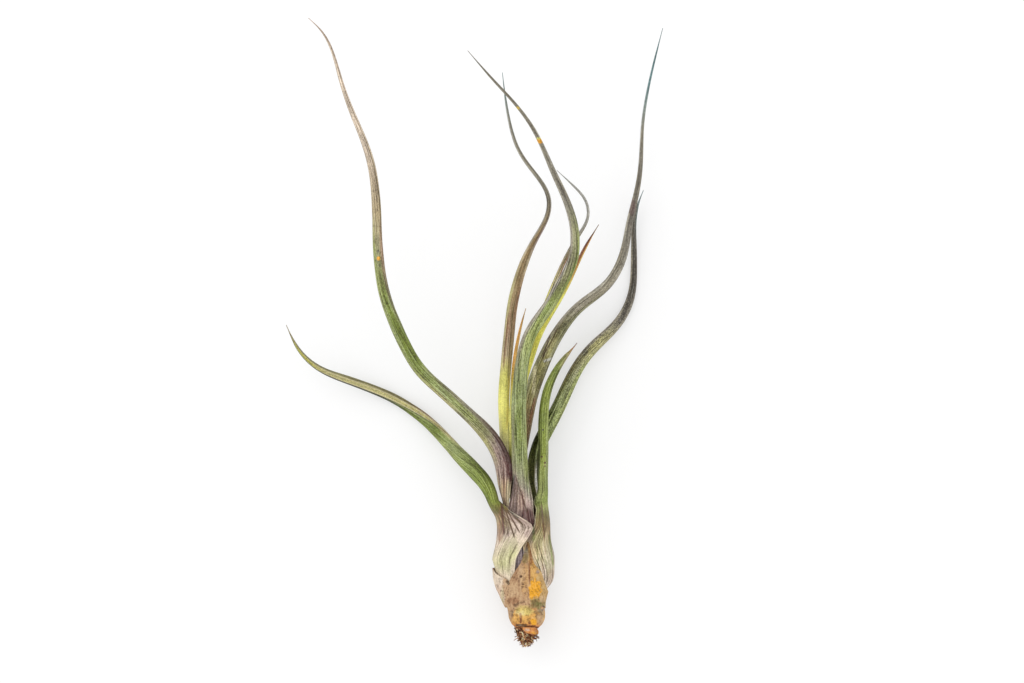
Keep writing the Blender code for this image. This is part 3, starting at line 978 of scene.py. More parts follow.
@dataclass(frozen=True)
class Grain:
    """Noise on a strip: its changes across, and the millimetres that each is long.

    shift moves it to another part of the noise.
    """

    across: float
    run: float
    detail: float = 2.0
    rough: float = 0.5
    shift: float = 0.0

    def value(self, graph: Graph, strip: Strip, veins: float = 1.0) -> Value:
        """The noise.

        Args:
            graph: the material's node tree.
            strip: the strip that it lies on.
            veins: what the changes across are multiplied by.

        Returns:
            Noise from 0 to 1.
        """
        across, along = graph.uv("Lengthwise")
        length = float(strip.points["length"][0])
        wide = across * (veins * self.across)
        place = graph.vector(wide, along * (length / self.run), strip.seed + self.shift)
        return graph.noise(place, 1.0, self.detail, self.rough)


WANDER = Grain(6.0, 9.0)
STREAK = Grain(1.05, 18.0, 3.0, 0.6)
THREAD = Grain(2.1, 9.0)
FLECK = Grain(2.0, 0.9)
BAND = Grain(2.5, 5.0, shift=0.5)
BULB_LINES = Grain(2.2, 12.0, 3.0, 0.65)


@dataclass(frozen=True)
class LeafSkin:
    """The skin of a leaf: colour stops along three lanes and the inner face, and marks.

    Stops are (y, tint) along the plant. The lanes are the left edge, the middle and the
    right edge as seen from above. Up to neck the leaf is bulb, with fine lines of its own.
    The tones say how strongly each kind of line and fleck tells.
    """

    left: Stops
    middle: Stops
    right: Stops
    lining: Stops
    margin: Tint = Tint.CREAM
    margin_width: float = 0.03
    margin_end: float = 58.0
    veins: float = 20.0
    vein_depth: float = 0.75
    vein_tint: Tint = Tint.UMBER
    bulb_vein_tint: Tint = Tint.BRONZE
    vein_tint_share: float = 0.25
    scurf: float = 1.4
    lane: float = 0.5
    smooth_end: float = 0.0
    marks: tuple[Mark, ...] = ()
    neck: float = 48.0
    neck_soft: float = 0.02
    bulb_tone: float = 7.5
    bulb_run: float = 12.0
    bulb_dark: float = 0.3
    bulb_calm: float = 0.7
    blade_tone: float = 5.0
    wave_tone: float = 0.3
    wave_wander: float = 5.0
    thread_tone: float = 3.8
    fleck_tone: float = 3.4
    band_tone: float = 0.9
    smooth_calm: float = 0.75
    lining_tone: float = 0.5
    lane_soft: float = 0.12
    lane_wander: float = 0.12
    lane_streak: float = 0.16
    place_soft: float = 0.05
    haze: float = 0.22
    lighter: float = 1.45
    shade: float = 0.8
    margin_strength: float = 0.55
    margin_core: float = 0.4
    speckle_scale: float = 2300.0
    speckle_rough: float = 0.65
    roughness: float = 0.5
    roughness_range: float = 0.3
    shine: float = 0.22
    bump: float = 0.12
    bump_shares: tuple[float, ...] = (0.25, 0.4, 0.3, 0.3)

    def colours(self, graph: Graph, strip: Strip, wander: Value, streak: Value) -> bpy.types.NodeSocket:
        """The colour of the outer face, before its lines and flecks.

        Args:
            graph: the material's node tree.
            strip: the leaf that wears it.
            wander: broad noise that bends the borders of the lanes.
            streak: fine noise that frays them and the marks.

        Returns:
            The colour.
        """
        side, up = graph.uv("Round")
        _, x, y = graph.place()
        drift = side + (wander - 0.5) * self.lane_wander + (streak - 0.5) * self.lane_streak
        edge = (1 - self.lane) / 2
        on_left = graph.step(drift, edge + self.lane_soft, edge - self.lane_soft)
        on_right = graph.step(drift, 1 - edge - self.lane_soft, 1 - edge + self.lane_soft)
        left = self.along(graph, strip, self.left)
        middle = self.along(graph, strip, self.middle)
        right = self.along(graph, strip, self.right)
        colour = graph.mix(on_right, graph.mix(on_left, middle, left), right)
        top = graph.step(up, *TOP_SIDE)
        for mark in self.marks:
            mask = mark.mask(graph, x, y, streak) * top
            colour = graph.mix(mask, colour, graph.tint(mark.tint))
        return colour

    def along(self, graph: Graph, strip: Strip, stops: Stops) -> bpy.types.NodeSocket:
        """Colour along the leaf."""
        _, along = graph.uv("Lengthwise")
        return graph.ramp(along, [(strip.share_at(place), tint.linear()) for place, tint in stops])

    def material(self, strip: Strip, inner: bool) -> bpy.types.Material:
        """The material of the outer or the inner face.

        Args:
            strip: the leaf that wears it.
            inner: whether it is the inner face.

        Returns:
            The material.
        """
        graph = Graph(strip.name + ("_lining" if inner else "_skin"))
        across, along = graph.uv("Lengthwise")
        source = graph.node("ShaderNodeTexCoord").outputs["Object"]
        wander = WANDER.value(graph, strip)
        streak = STREAK.value(graph, strip, self.veins)
        thread = THREAD.value(graph, strip, self.veins)
        fleck = FLECK.value(graph, strip, self.veins)
        band = BAND.value(graph, strip)
        speckle = graph.noise(source, self.speckle_scale, 2.0, self.speckle_rough)
        fine = replace(BULB_LINES, run=self.bulb_run).value(graph, strip, self.veins)
        wave = graph.math("SINE", across * (self.veins * 2 * math.pi) + wander * self.wave_wander)
        neck = strip.share_at(self.neck)
        bulb = graph.step(along, neck + self.neck_soft, neck - self.neck_soft)
        if inner:
            colour = self.along(graph, strip, self.lining)
        else:
            colour = self.colours(graph, strip, wander, streak)
        lines = (streak - 0.5) * (1 - bulb) + (fine - 0.5) * bulb
        tone = lines * (bulb * (self.bulb_tone - self.blade_tone) + self.blade_tone)
        tone = tone + wave * self.wave_tone * (1 - bulb)
        flecks = (thread - 0.5) * self.thread_tone + (fleck - 0.5) * self.fleck_tone
        tone = tone + flecks * (1 - bulb * self.bulb_calm)
        if self.smooth_end:
            smooth = strip.share_at(self.smooth_end)
            calm = graph.step(along, smooth + self.place_soft, smooth - self.place_soft)
            tone = tone * (1 - calm * self.smooth_calm)
        if inner:
            tone = tone * self.lining_tone
        light = graph.step(tone, 0.0, 1.0)
        dark = graph.step(tone, 0.0, -1.0)
        pale = graph.mix(self.haze, graph.darker(colour, self.lighter), graph.tint(Tint.MIST))
        colour = graph.mix(light * self.vein_depth, colour, pale)
        line = graph.mix(bulb, graph.tint(self.vein_tint), graph.tint(self.bulb_vein_tint))
        stain = self.vein_depth * self.vein_tint_share + bulb * self.bulb_dark
        colour = graph.mix(dark * stain, colour, line)
        colour = graph.darker(colour, 1 - dark * (self.vein_depth * self.shade))
        uneven = (speckle - 0.5) * self.scurf + (band - 0.5) * self.band_tone
        colour = graph.darker(colour, uneven + 1)
        rim = graph.math("ABSOLUTE", across - 0.5) * 2
        margin = graph.step(rim, 1 - self.margin_width, 1 - self.margin_width * self.margin_core)
        last = strip.share_at(self.margin_end)
        margin = margin * graph.step(along, last + self.place_soft, last)
        colour = graph.mix(margin * self.margin_strength, colour, graph.tint(self.margin))
        wave_share, streak_share, thread_share, speckle_share = self.bump_shares
        height = wave * wave_share + streak * streak_share + thread * thread_share
        height = height + speckle * speckle_share
        rough = self.roughness + (speckle - 0.5) * self.roughness_range
        graph.finish(colour, rough, height, self.bump, Specular_IOR_Level=self.shine)
        return graph.material


@dataclass(frozen=True)
class HuskSkin:
    """Dry papery skin: a ground colour from foot to top, crumpled veins and marks."""

    ground: Stops
    veins: float = 26.0
    vein_depth: float = 0.5
    vein_tint: Tint = Tint.RUST
    pits: float = 0.5
    marks: tuple[Mark, ...] = ()
    blotch_scale: float = 330.0
    torn_scale: float = 850.0
    torn_reach: float = 3.0
    speckle_scale: float = 1500.0
    streak_run: float = 4.0
    streak_tone: float = 3.2
    blotch_tone: float = 2.6
    speckle_tone: float = 3.6
    contrast: float = 0.9
    haze: float = 0.35
    lighter: float = 1.3
    stain: float = 0.35
    shade: float = 0.75
    pit_place: tuple[float, float] = (0.38, 0.3)
    roughness: float = 0.72
    shine: float = 0.25
    bump: float = 0.35
    bump_shares: tuple[float, ...] = (0.4, 0.35, 0.3)

    def material(self, strip: Strip, inner: bool) -> bpy.types.Material:
        """The material of the outer or the inner face.

        Args:
            strip: the husk that wears it.
            inner: whether it is the inner face.

        Returns:
            The material.
        """
        graph = Graph(strip.name + ("_lining" if inner else "_skin"))
        across, along = graph.uv("Lengthwise")
        _, up = graph.uv("Round")
        source, x, y = graph.place()
        stops = [(strip.share_at(place), tint.linear()) for place, tint in self.ground]
        colour = graph.ramp(along, stops)
        blotch = graph.noise(source, self.blotch_scale, 3.0, 0.6)
        torn = (graph.noise(source, self.torn_scale, 3.0, 0.7) - 0.5) * self.torn_reach + 0.5
        speckle = graph.noise(source, self.speckle_scale, 3.0, 0.65)
        streak = graph.noise(graph.vector(across * self.veins, along * self.streak_run, strip.seed), 1.0)
        if not inner:
            top = graph.step(up, *TOP_SIDE)
            for mark in self.marks:
                mask = mark.mask(graph, x, y, torn) * top
                colour = graph.mix(mask, colour, graph.tint(mark.tint))
        tone = (streak - 0.5) * self.streak_tone + (blotch - 0.5) * self.blotch_tone
        tone = tone + (speckle - 0.5) * self.speckle_tone
        pale = graph.mix(self.haze, graph.darker(colour, self.lighter), graph.tint(Tint.CREAM))
        colour = graph.mix(graph.step(tone, 0.0, self.contrast) * self.vein_depth, colour, pale)
        dark = graph.step(tone, 0.0, -self.contrast) * self.vein_depth
        colour = graph.mix(dark * self.stain, colour, graph.tint(self.vein_tint))
        colour = graph.darker(colour, 1 - dark * self.shade)
        pits = graph.step(speckle, *self.pit_place)
        colour = graph.mix(pits * self.pits, colour, graph.tint(Tint.UMBER))
        blotch_share, speckle_share, streak_share = self.bump_shares
        height = blotch * blotch_share + speckle * speckle_share + streak * streak_share
        graph.finish(colour, self.roughness, height, self.bump, Specular_IOR_Level=self.shine)
        return graph.material


@dataclass(frozen=True)
class Bark:
    """Wiry root skin in three tints, from the darkest to the palest."""

    dark: Tint
    middle: Tint
    pale: Tint
    places: tuple[float, float, float] = (0.34, 0.5, 0.66)
    broad_scale: float = 700.0
    fine_scale: float = 4000.0
    shade: tuple[float, float] = (0.9, 0.55)
    roughness: float = 0.8
    shine: float = 0.2
    bump: float = 0.1

    def material(self, name: str) -> bpy.types.Material:
        """The material.

        Args:
            name: the material's name.

        Returns:
            The material.
        """
        graph = Graph(name)
        source = graph.node("ShaderNodeTexCoord").outputs["Object"]
        broad = graph.noise(source, self.broad_scale)
        fine = graph.noise(source, self.fine_scale, 3.0, 0.6)
        tints = (self.dark, self.middle, self.pale)
        colour = graph.ramp(broad, [(place, tint.linear()) for place, tint in zip(self.places, tints)])
        share, least = self.shade
        colour = graph.darker(colour, fine * share + least)
        graph.finish(colour, self.roughness, fine, self.bump, Specular_IOR_Level=self.shine)
        return graph.material


# Pieces


@dataclass
class Leaf:
    """A whole leaf, or a husk, with its skin."""

    strip: Strip
    skin: LeafSkin | HuskSkin
    slot: Slot

    def build(self) -> bpy.types.Object:
        """Model and dress the leaf, and let it stand for its CAD node.

        Returns:
            The finished piece.
        """
        piece = self.strip.build()
        for index, inner in enumerate((False, True)):
            piece.data.materials[index] = self.skin.material(self.strip, inner)
        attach(piece, "root")
        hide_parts(self.strip.node)
        LOG.info("%s: %d faces", piece.name, len(piece.data.polygons))
        return piece


def leaf(
    name: str, slot: Slot, sheath: Sheath, blade: Blade, skin: LeafSkin, seed: int, **more: object
) -> Leaf:
    """A leaf from its parts."""
    return Leaf(Strip(name + "_skin", name, sheath, blade, seed=seed, **more), skin, slot)


HUSK_STRIP = {"ring_step": 0.35, "ribs": 20.0, "rib_depth": 0.05}


def husk(name: str, slot: Slot, sheath: Sheath, skin: HuskSkin, seed: int, **more: object) -> Leaf:
    """A husk from its parts."""
    return Leaf(Strip(name + "_skin", name, sheath, None, seed=seed, **HUSK_STRIP, **more), skin, slot)


T = Tint

# Spot: x, y, half width, half length, tint, strength, raggedness, softness.
# Line: x and y of both ends, half width, tint, strength, raggedness.
# Crease: azimuth, y, width in degrees, length, depth.
# Rows of a route: x, y, z, width, facing. Rows of swell: y, shift, cut.

LEAF_01 = leaf(
    "leaf_01", Slot.GREEN,
    Sheath(
        level=0, azimuth=-85,
        margins=(
            (13.6, -190, -12), (25.4, -190, -19), (29.3, -190, -15.5), (34.0, -190, -3),
            (40.3, -184, 19), (43.5, -160, -1), (45.0, -147, -12), (46.0, -138, -20),
        ),
        swell=((13.6, 0.0, 0.0), (40.3, 0.0, 0.0), (43.5, 0.7, 0.0), (46.0, 2.3, 0.0)),
    ),
    Blade(
        route=(
            (-10.0, 49.3, 10.6, 4.9, -50), (-14.9, 57.3, 10.2, 5.3, -46), (-20.6, 63.3, 8.9, 4.9, -80),
            (-28.2, 71.4, 5.3, 4.2, -130), (-34.8, 77.5, 2.4, 3.7, -158),
            (-40.8, 81.6, 1.62, 3.4, -176), (-48.7, 85.5, 2.5, 3.0, -186),
            (-58.8, 89.3, 5.2, 2.7, -194), (-68.5, 93.3, 8.6, 2.0, -195),
            (-75.0, 99.3, 11.8, 1.2, -190), (-79.3, 107.7, 14.5, 0.5, -180),
        ),
        roll=(
            (0.0, 92.0), (0.2, 160.0), (0.3, 166.0), (0.4, 160.0), (0.48, 157.0), (0.58, 150.0),
            (0.85, 146.0), (1.0, 155.0),
        ),
    ),
    LeafSkin(
        left=(
            (13.6, T.SHELL), (24, T.SHELL), (28, T.KHAKI_CREAM), (34, T.SHELL), (38, T.DUSK_BEIGE),
            (41, T.SAND), (44, T.BRONZE), (45, T.OLIVE), (50, T.LEAF), (60, T.FERN), (66, T.APPLE),
            (72, T.FERN), (78, T.LEAF), (83, T.DEEP_GREEN), (94, T.DEEP_GREEN), (99, T.FERN),
            (107, T.SAND),
        ),
        middle=(
            (13.6, T.PALE_KHAKI), (21, T.PALE_KHAKI), (26, T.SHELL), (31, T.KHAKI_CREAM),
            (36, T.SHELL), (40, T.DUSK_BEIGE), (44, T.DUSK_BEIGE), (46, T.BRONZE), (49, T.LIME),
            (57, T.FERN), (66, T.SAGE), (72, T.LEAF), (78, T.SAGE), (84, T.KHAKI), (99, T.KHAKI),
            (107, T.SAND),
        ),
        right=(
            (13.6, T.PALE_KHAKI), (22, T.SHELL), (34, T.SHELL), (38, T.DUSK_BEIGE), (41, T.ROSE_GREY),
            (45, T.MAUVE), (47, T.OLIVE), (52, T.MOSS), (58, T.LEAF), (64, T.SAGE), (70, T.KHAKI),
            (75, T.BRONZE), (81, T.OLIVE), (98, T.GREY_GREEN), (107, T.SAND),
        ),
        # The pale straw from y 66 to 92 is lighter than the lining itself: painted light that offsets the
        # shade in the groove.
        lining=(
            (13.6, T.KHAKI), (46, T.KHAKI), (66, T.PALE_STRAW), (92, T.PALE_STRAW), (96, T.LEMON),
            (102, T.LEMON), (107, T.SAND),
        ),
        margin_end=100.0,
        margin=T.SHELL,
        bulb_tone=5.5,
        haze=0.15,
        marks=(
            Spot(-1.6, 43.4, 3.4, 1.8, T.MAUVE, 0.9, 0.8, 0.7),
            Spot(1.2, 41.4, 1.6, 1.5, T.MAUVE, 0.6, 0.5, 0.5),
            Spot(-8.0, 39.0, 1.2, 3.6, T.HAZEL, 0.5, 0.7),
            Spot(-6.2, 30.5, 2.0, 6.5, T.APPLE, 0.35, 2.4, 0.8),
            Spot(-3.6, 33.0, 1.4, 4.5, T.APPLE, 0.3, 2.4, 0.8),
            # The rose-grey patch is partly the sheath's own purple-grey and partly painted shade under the
            # collar.
            Spot(1.6, 38.0, 1.6, 1.3, T.ROSE_GREY, 0.7, 0.6, 0.6),
            Line(-7.6, 49.0, -6.6, 37.0, 0.45, T.MAROON, 0.85),
            Line(-7.2, 48.5, -4.9, 36.0, 0.26, T.PLUM, 0.7),
            Line(-6.4, 46.8, -2.9, 36.0, 0.3, T.UMBER, 0.9),
            Line(-6.0, 46.6, -1.2, 38.0, 0.28, T.UMBER, 0.9),
            Line(-5.6, 46.4, 0.2, 40.5, 0.28, T.UMBER, 0.85),
            Line(-5.4, 46.3, -1.3, 43.2, 0.55, T.CHARCOAL, 0.9),
            Line(-8.2, 47.0, -8.2, 34.0, 0.22, T.HAZEL, 0.6),
            Line(-3.8, 44.8, 1.8, 41.8, 0.16, T.SHELL, 0.5),
            Line(-5.2, 45.8, -1.7, 44.3, 0.2, T.CHARCOAL, 0.8),
        ),
    ),
    seed=1,
    groove=((60.0, 0.0), (68.0, 0.0), (78.0, 1.0), (104.0, 1.0)),
)
LEAF_10 = leaf(
    "leaf_10", Slot.GREEN,
    Sheath(
        level=1, azimuth=90,
        margins=((15.0, 10, 155), (25.4, 8, 155), (34.0, -8, 155), (40.3, 19, 150), (46.0, 28, 112)),
        swell=(
            (15.0, 0.0, 0.0), (18.8, 0.3, 0.0), (21.5, 1.7, 0.0), (26.5, 1.7, 0.0), (29.2, 0.9, 0.0),
            (46.0, 0.6, 0.0),
        ),
    ),
    Blade(
        route=(
            (5.9, 53.3, 13.0, 4.3, 50), (6.4, 65.0, 15.0, 3.5, 58), (6.5, 77.3, 17.5, 3.3, 55),
            (7.7, 85.3, 19.5, 3.0, 50), (11.2, 93.3, 21.0, 2.2, 45), (14.0, 97.3, 21.6, 1.5, 45),
            (17.7, 101.7, 22.2, 0.5, 45),
        ),
    ),
    LeafSkin(
        # From y 46 to 70 the left lane's moss and deep green are partly the leaf's own dark green and
        # partly painted shade on its left flank.
        left=(
            (15, T.SHELL), (26, T.SHELL), (32, T.KHAKI_CREAM), (36, T.BRONZE), (41, T.OLIVE),
            (46, T.MOSS), (50, T.DEEP_GREEN), (62, T.DEEP_GREEN), (70, T.MOSS), (80, T.LEAF),
            (93, T.FERN), (98, T.KHAKI), (101.7, T.HAZEL),
        ),
        middle=(
            (15, T.SHELL), (26, T.SHELL), (32, T.FAWN), (36, T.SAND), (40, T.BRONZE), (44, T.OLIVE),
            (48, T.MOSS), (51, T.APPLE), (53, T.APPLE), (64, T.LIME), (76, T.FERN), (85, T.LIME),
            (93, T.FERN), (98, T.KHAKI), (100, T.ORANGE), (101.7, T.RUST),
        ),
        right=(
            (15, T.SHELL), (24, T.SHELL), (31, T.SHELL), (36, T.SAND), (40, T.BRONZE), (44, T.OLIVE),
            (47, T.APPLE), (50, T.FERN), (64, T.SAGE), (80, T.LIME), (92, T.LEAF), (98, T.SAND),
            (101.7, T.RUST),
        ),
        lining=((15, T.KHAKI), (50, T.KHAKI_CREAM), (90, T.SAGE), (101.7, T.RUST)),
        margin_end=92.0,
        bulb_tone=9.0,
        bulb_run=14.0,
        haze=0.15,
        marks=(
            Spot(6.3, 72.7, 0.3, 0.35, T.CHARCOAL), Spot(6.0, 63.7, 0.4, 0.25, T.MAROON, 0.9),
            Spot(7.0, 61.7, 0.35, 0.35, T.MAROON, 0.9), Spot(7.0, 60.6, 0.35, 0.3, T.MAROON, 0.7),
            Line(5.7, 49.0, 7.0, 35.5, 0.28, T.UMBER, 0.9),
            Line(5.0, 46.0, 5.6, 38.0, 0.2, T.UMBER, 0.6),
            Line(3.8, 44.0, 3.4, 36.0, 0.22, T.UMBER, 0.6),
            Line(6.3, 42.0, 7.3, 30.0, 0.2, T.RUST, 0.5), Line(8.2, 38.5, 9.9, 26.5, 0.3, T.FERN, 0.8),
            Line(4.4, 36.0, 4.6, 27.5, 0.22, T.OLIVE, 0.7),
            Line(5.8, 34.5, 6.4, 24.0, 0.2, T.HAZEL, 0.6),
            Spot(5.9, 30.2, 0.35, 0.9, T.UMBER, 0.7, 0.6),
            Spot(4.8, 29.6, 0.3, 0.7, T.UMBER, 0.6, 0.6),
            Spot(9.0, 23.5, 1.6, 3.0, T.PINK_BEIGE, 0.6, 0.6),
            # The plum patches at x 2 to 3.2, y 37 to 43 are partly the sheath's own purple and partly
            # painted shade under leaf_01's collar.
            Spot(2.9, 37.5, 0.9, 2.0, T.FERN, 0.6, 0.8), Spot(3.2, 41.3, 0.7, 1.4, T.PLUM, 0.7, 0.6),
            Spot(5.2, 33.0, 2.2, 6.5, T.APPLE, 0.35, 2.2, 0.8),
            Spot(8.6, 30.0, 1.3, 6.0, T.FERN, 0.35, 2.2, 0.8),
            Spot(2.0, 38.4, 1.3, 3.6, T.PLUM, 0.8, 1.4, 0.7),
            # The deep green patch and streak are partly the leaf's own colour and partly painted shade on
            # its left side.
            Spot(2.8, 49.0, 1.1, 2.8, T.DEEP_GREEN, 0.7, 1.2, 0.8),
            Line(3.0, 48.0, 3.2, 37.0, 0.45, T.DEEP_GREEN, 0.8, 0.5),
        ),
    ),
    seed=10,
)
LEAF_03 = leaf(
    "leaf_03", Slot.MOTTLED,
    Sheath(
        level=2, azimuth=-5,
        margins=((16.4, -85, 75), (34.0, -85, 75), (40.3, -75, 40), (46.0, -57, 28)),
        swell=(
            (16.4, 0.0, 0.0), (22.0, 0.1, 0.0), (26.0, 1.1, 0.0), (33.0, 1.1, 0.0), (38.0, 0.2, 0.0),
            (46.0, 0.0, 0.0),
        ),
        swell_azimuth=-45,
    ),
    Blade(
        route=(
            (-1.0, 57.0, 17.0, 5.2, -8), (-1.7, 73.3, 22.0, 5.1, -12), (-1.2, 89.3, 28.0, 4.6, -25),
            (2.5, 105.3, 34.0, 4.2, -55), (7.8, 113.3, 37.0, 4.1, -75), (12.5, 121.3, 40.0, 3.8, -105),
            (16.3, 129.3, 43.0, 3.4, -140), (16.9, 137.3, 46.0, 3.0, -160),
            (13.9, 149.3, 50.0, 2.4, -165), (10.3, 157.3, 52.0, 2.0, -165),
            (6.8, 165.3, 54.0, 1.6, -165), (2.7, 173.3, 55.6, 1.3, -165),
            (-3.2, 181.3, 57.0, 1.0, -165), (-10.5, 189.3, 57.8, 0.8, -165),
            (-18.7, 198.7, 58.0, 0.5, -165),
        ),
        roll=((0.0, 92.0), (0.2, 150.0), (0.3, 170.0), (0.5, 173.0), (0.62, 178.0), (1.0, 178.0)),
    ),
    LeafSkin(
        # Up to y 42 the rose-grey and the lilac at y 36 to 37 are lighter than the sheath's own dark
        # purple: painted light that offsets the shade under leaf_01's margin.
        left=(
            (16, T.ROSE_GREY), (36, T.LILAC), (42, T.ROSE_GREY), (50, T.ROSE_GREY), (56, T.MAUVE),
            (61, T.GREY_GREEN), (76, T.SAGE), (88, T.SAGE), (100, T.STONE), (122, T.ASH),
            (132, T.STONE), (146, T.ASH), (170, T.ASH), (184, T.STONE), (198, T.STONE),
        ),
        middle=(
            (16, T.ROSE_GREY), (37, T.LILAC), (40, T.ROSE_GREY), (48, T.ROSE_GREY), (54, T.STONE),
            (64, T.SAGE), (73, T.FERN), (90, T.SAGE), (105, T.APPLE), (114, T.FERN),
            (124, T.GREY_GREEN), (140, T.GREY_GREEN), (150, T.SLATE), (165, T.STONE), (198, T.SLATE),
        ),
        right=(
            (16, T.ROSE_GREY), (42, T.ROSE_GREY), (50, T.ASH), (58, T.APPLE), (76, T.SAGE),
            (90, T.SAGE), (105, T.FERN), (114, T.APPLE), (125, T.FERN), (137, T.APPLE), (148, T.STONE),
            (170, T.ASH), (185, T.STONE), (198, T.STONE),
        ),
        lining=((16, T.KHAKI), (120, T.GREY_GREEN), (150, T.OLIVE), (198, T.SLATE)),
        bulb_vein_tint=T.PLUM,
        bulb_tone=10.0,
        vein_depth=0.85,
        marks=(
            Panel(((3.0, 40.7, -2.7, 57.3), (10.0, 56.5, -10.0, 57.5)), T.PLUM, 0.45, 0.5, 0.8),
            Spot(-1.0, 49.0, 1.2, 4.0, T.PINK_BEIGE, 0.5, 1.4, 1.0),
            Spot(1.2, 44.2, 2.3, 2.2, T.MAROON, 0.95, 1.2, 0.8),
            Spot(2.6, 41.8, 0.9, 1.6, T.MAROON, 0.9, 0.6, 0.5),
            Line(-3.2, 58.5, 1.4, 44.0, 0.3, T.UMBER, 0.8),
            Line(-6.2, 45.5, -3.0, 58.5, 0.6, T.CHARCOAL, 1.0),
            Line(-4.9, 46.0, -3.0, 56.0, 0.25, T.PLUM, 0.9),
            Line(-3.8, 45.8, -2.7, 55.5, 0.2, T.UMBER, 0.8),
            Line(-2.5, 45.0, -2.2, 55.0, 0.2, T.UMBER, 0.8),
            Line(-1.2, 44.4, -1.5, 54.0, 0.2, T.MAROON, 0.8),
            Line(0.1, 43.6, -0.7, 53.0, 0.22, T.MAROON, 0.8),
            Line(2.9, 44.0, 1.8, 54.0, 0.2, T.UMBER, 0.6),
            Line(-4.6, 48.0, -2.6, 58.0, 0.3, T.PLUM, 0.8),
            Line(2.9, 46.5, 1.3, 60.0, 0.25, T.PLUM, 0.5),
            Line(3.7, 50.0, 4.1, 41.5, 0.4, T.CHARCOAL, 0.7),
            Line(-2.8, 62.0, -2.4, 80.0, 0.2, T.MOSS, 0.6),
            Line(-0.4, 96.0, -0.8, 64.0, 0.2, T.MOSS, 0.5),
            Line(1.2, 74.0, 0.8, 96.0, 0.2, T.DEEP_GREEN, 0.35),
            Spot(-3.6, 74.0, 0.3, 8.0, T.MAUVE, 0.3, 0.8),
            Spot(5.3, 168.9, 1.1, 1.0, T.AMBER, 1.0, 0.3),
            Spot(4.9, 169.6, 0.8, 0.4, T.LEMON, 0.8, 0.3),
            Spot(-2.2, 179.6, 0.8, 0.6, T.GOLD, 0.9, 0.3),
        ),
    ),
    seed=3,
)
LEAF_08 = leaf(
    "leaf_08", Slot.MOTTLED,
    Sheath(
        level=2, azimuth=183,
        margins=((16.4, 98, 250), (34.0, 98, 250), (40.3, 120, 232), (46.0, 150, 207)),
    ),
    Blade(
        route=(
            (-1.4, 56.0, 4.0, 4.0, 183), (0.0, 73.3, 4.8, 4.8, 180), (4.0, 89.3, 6.0, 4.8, 178),
            (9.2, 101.3, 7.2, 4.4, 175), (18.2, 113.3, 8.5, 3.6, 172), (27.8, 121.3, 9.5, 3.15, 170),
            (32.5, 129.3, 10.2, 2.9, 170), (35.2, 141.3, 11.0, 2.3, 170),
            (38.5, 157.3, 11.8, 1.6, 170), (39.5, 173.3, 12.0, 1.1, 170),
            (42.0, 189.3, 12.0, 0.75, 170), (46.3, 206.7, 12.0, 0.5, 170),
        ),
        roll=((0.0, 92.0), (0.06, 150.0), (0.12, 179.3), (1.0, 179.3)),
    ),
    LeafSkin(
        left=(
            (16, T.MAUVE), (60, T.GREY_GREEN), (80, T.GREY_GREEN), (95, T.GREY_GREEN), (108, T.STONE),
            (120, T.ASH), (130, T.STONE), (141, T.ASH), (157, T.STONE), (172, T.SILVER), (188, T.TEAL),
            (206, T.TEAL),
        ),
        middle=(
            (16, T.MAUVE), (60, T.OLIVE), (78, T.BRONZE), (86, T.KHAKI), (93, T.KHAKI), (101, T.KHAKI),
            (107, T.GREY_GREEN), (113, T.STONE), (121, T.STONE), (141, T.SLATE), (157, T.SLATE),
            (172, T.STONE), (188, T.TEAL), (206, T.TEAL),
        ),
        right=(
            (16, T.MAUVE), (60, T.BRONZE), (76, T.BRONZE), (86, T.OLIVE), (101, T.GREY_GREEN),
            (113, T.GREY_GREEN), (121, T.STONE), (130, T.ASH), (141, T.SLATE), (157, T.STONE),
            (172, T.ASH), (188, T.TEAL), (206, T.TEAL),
        ),
        lining=(
            (16, T.KHAKI), (80, T.KHAKI_CREAM), (94, T.OLIVE), (120, T.OLIVE), (150, T.SLATE),
            (206, T.SLATE),
        ),
        marks=(
            Spot(6.9, 97.6, 1.1, 2.4, T.OLIVE, 0.6, 0.6, 0.5),
            Line(6.3, 95.4, 9.6, 96.6, 0.45, T.SILVER, 0.8),
            Line(6.1, 96.0, 8.8, 105.0, 0.35, T.UMBER, 0.8),
            Line(7.2, 98.0, 11.6, 107.5, 0.3, T.UMBER, 0.7),
            Line(3.8, 94.5, 3.0, 84.0, 0.6, T.CREAM, 0.75),
            Spot(36.0, 147.0, 1.2, 3.0, T.PLUM, 0.7, 0.5),
            Line(1.6, 74.0, 3.8, 84.0, 0.4, T.RUST, 0.6),
            Line(8.6, 99.0, 13.5, 110.0, 0.25, T.UMBER, 0.4),
        ),
        scurf=2.0,
    ),
    seed=8,
)
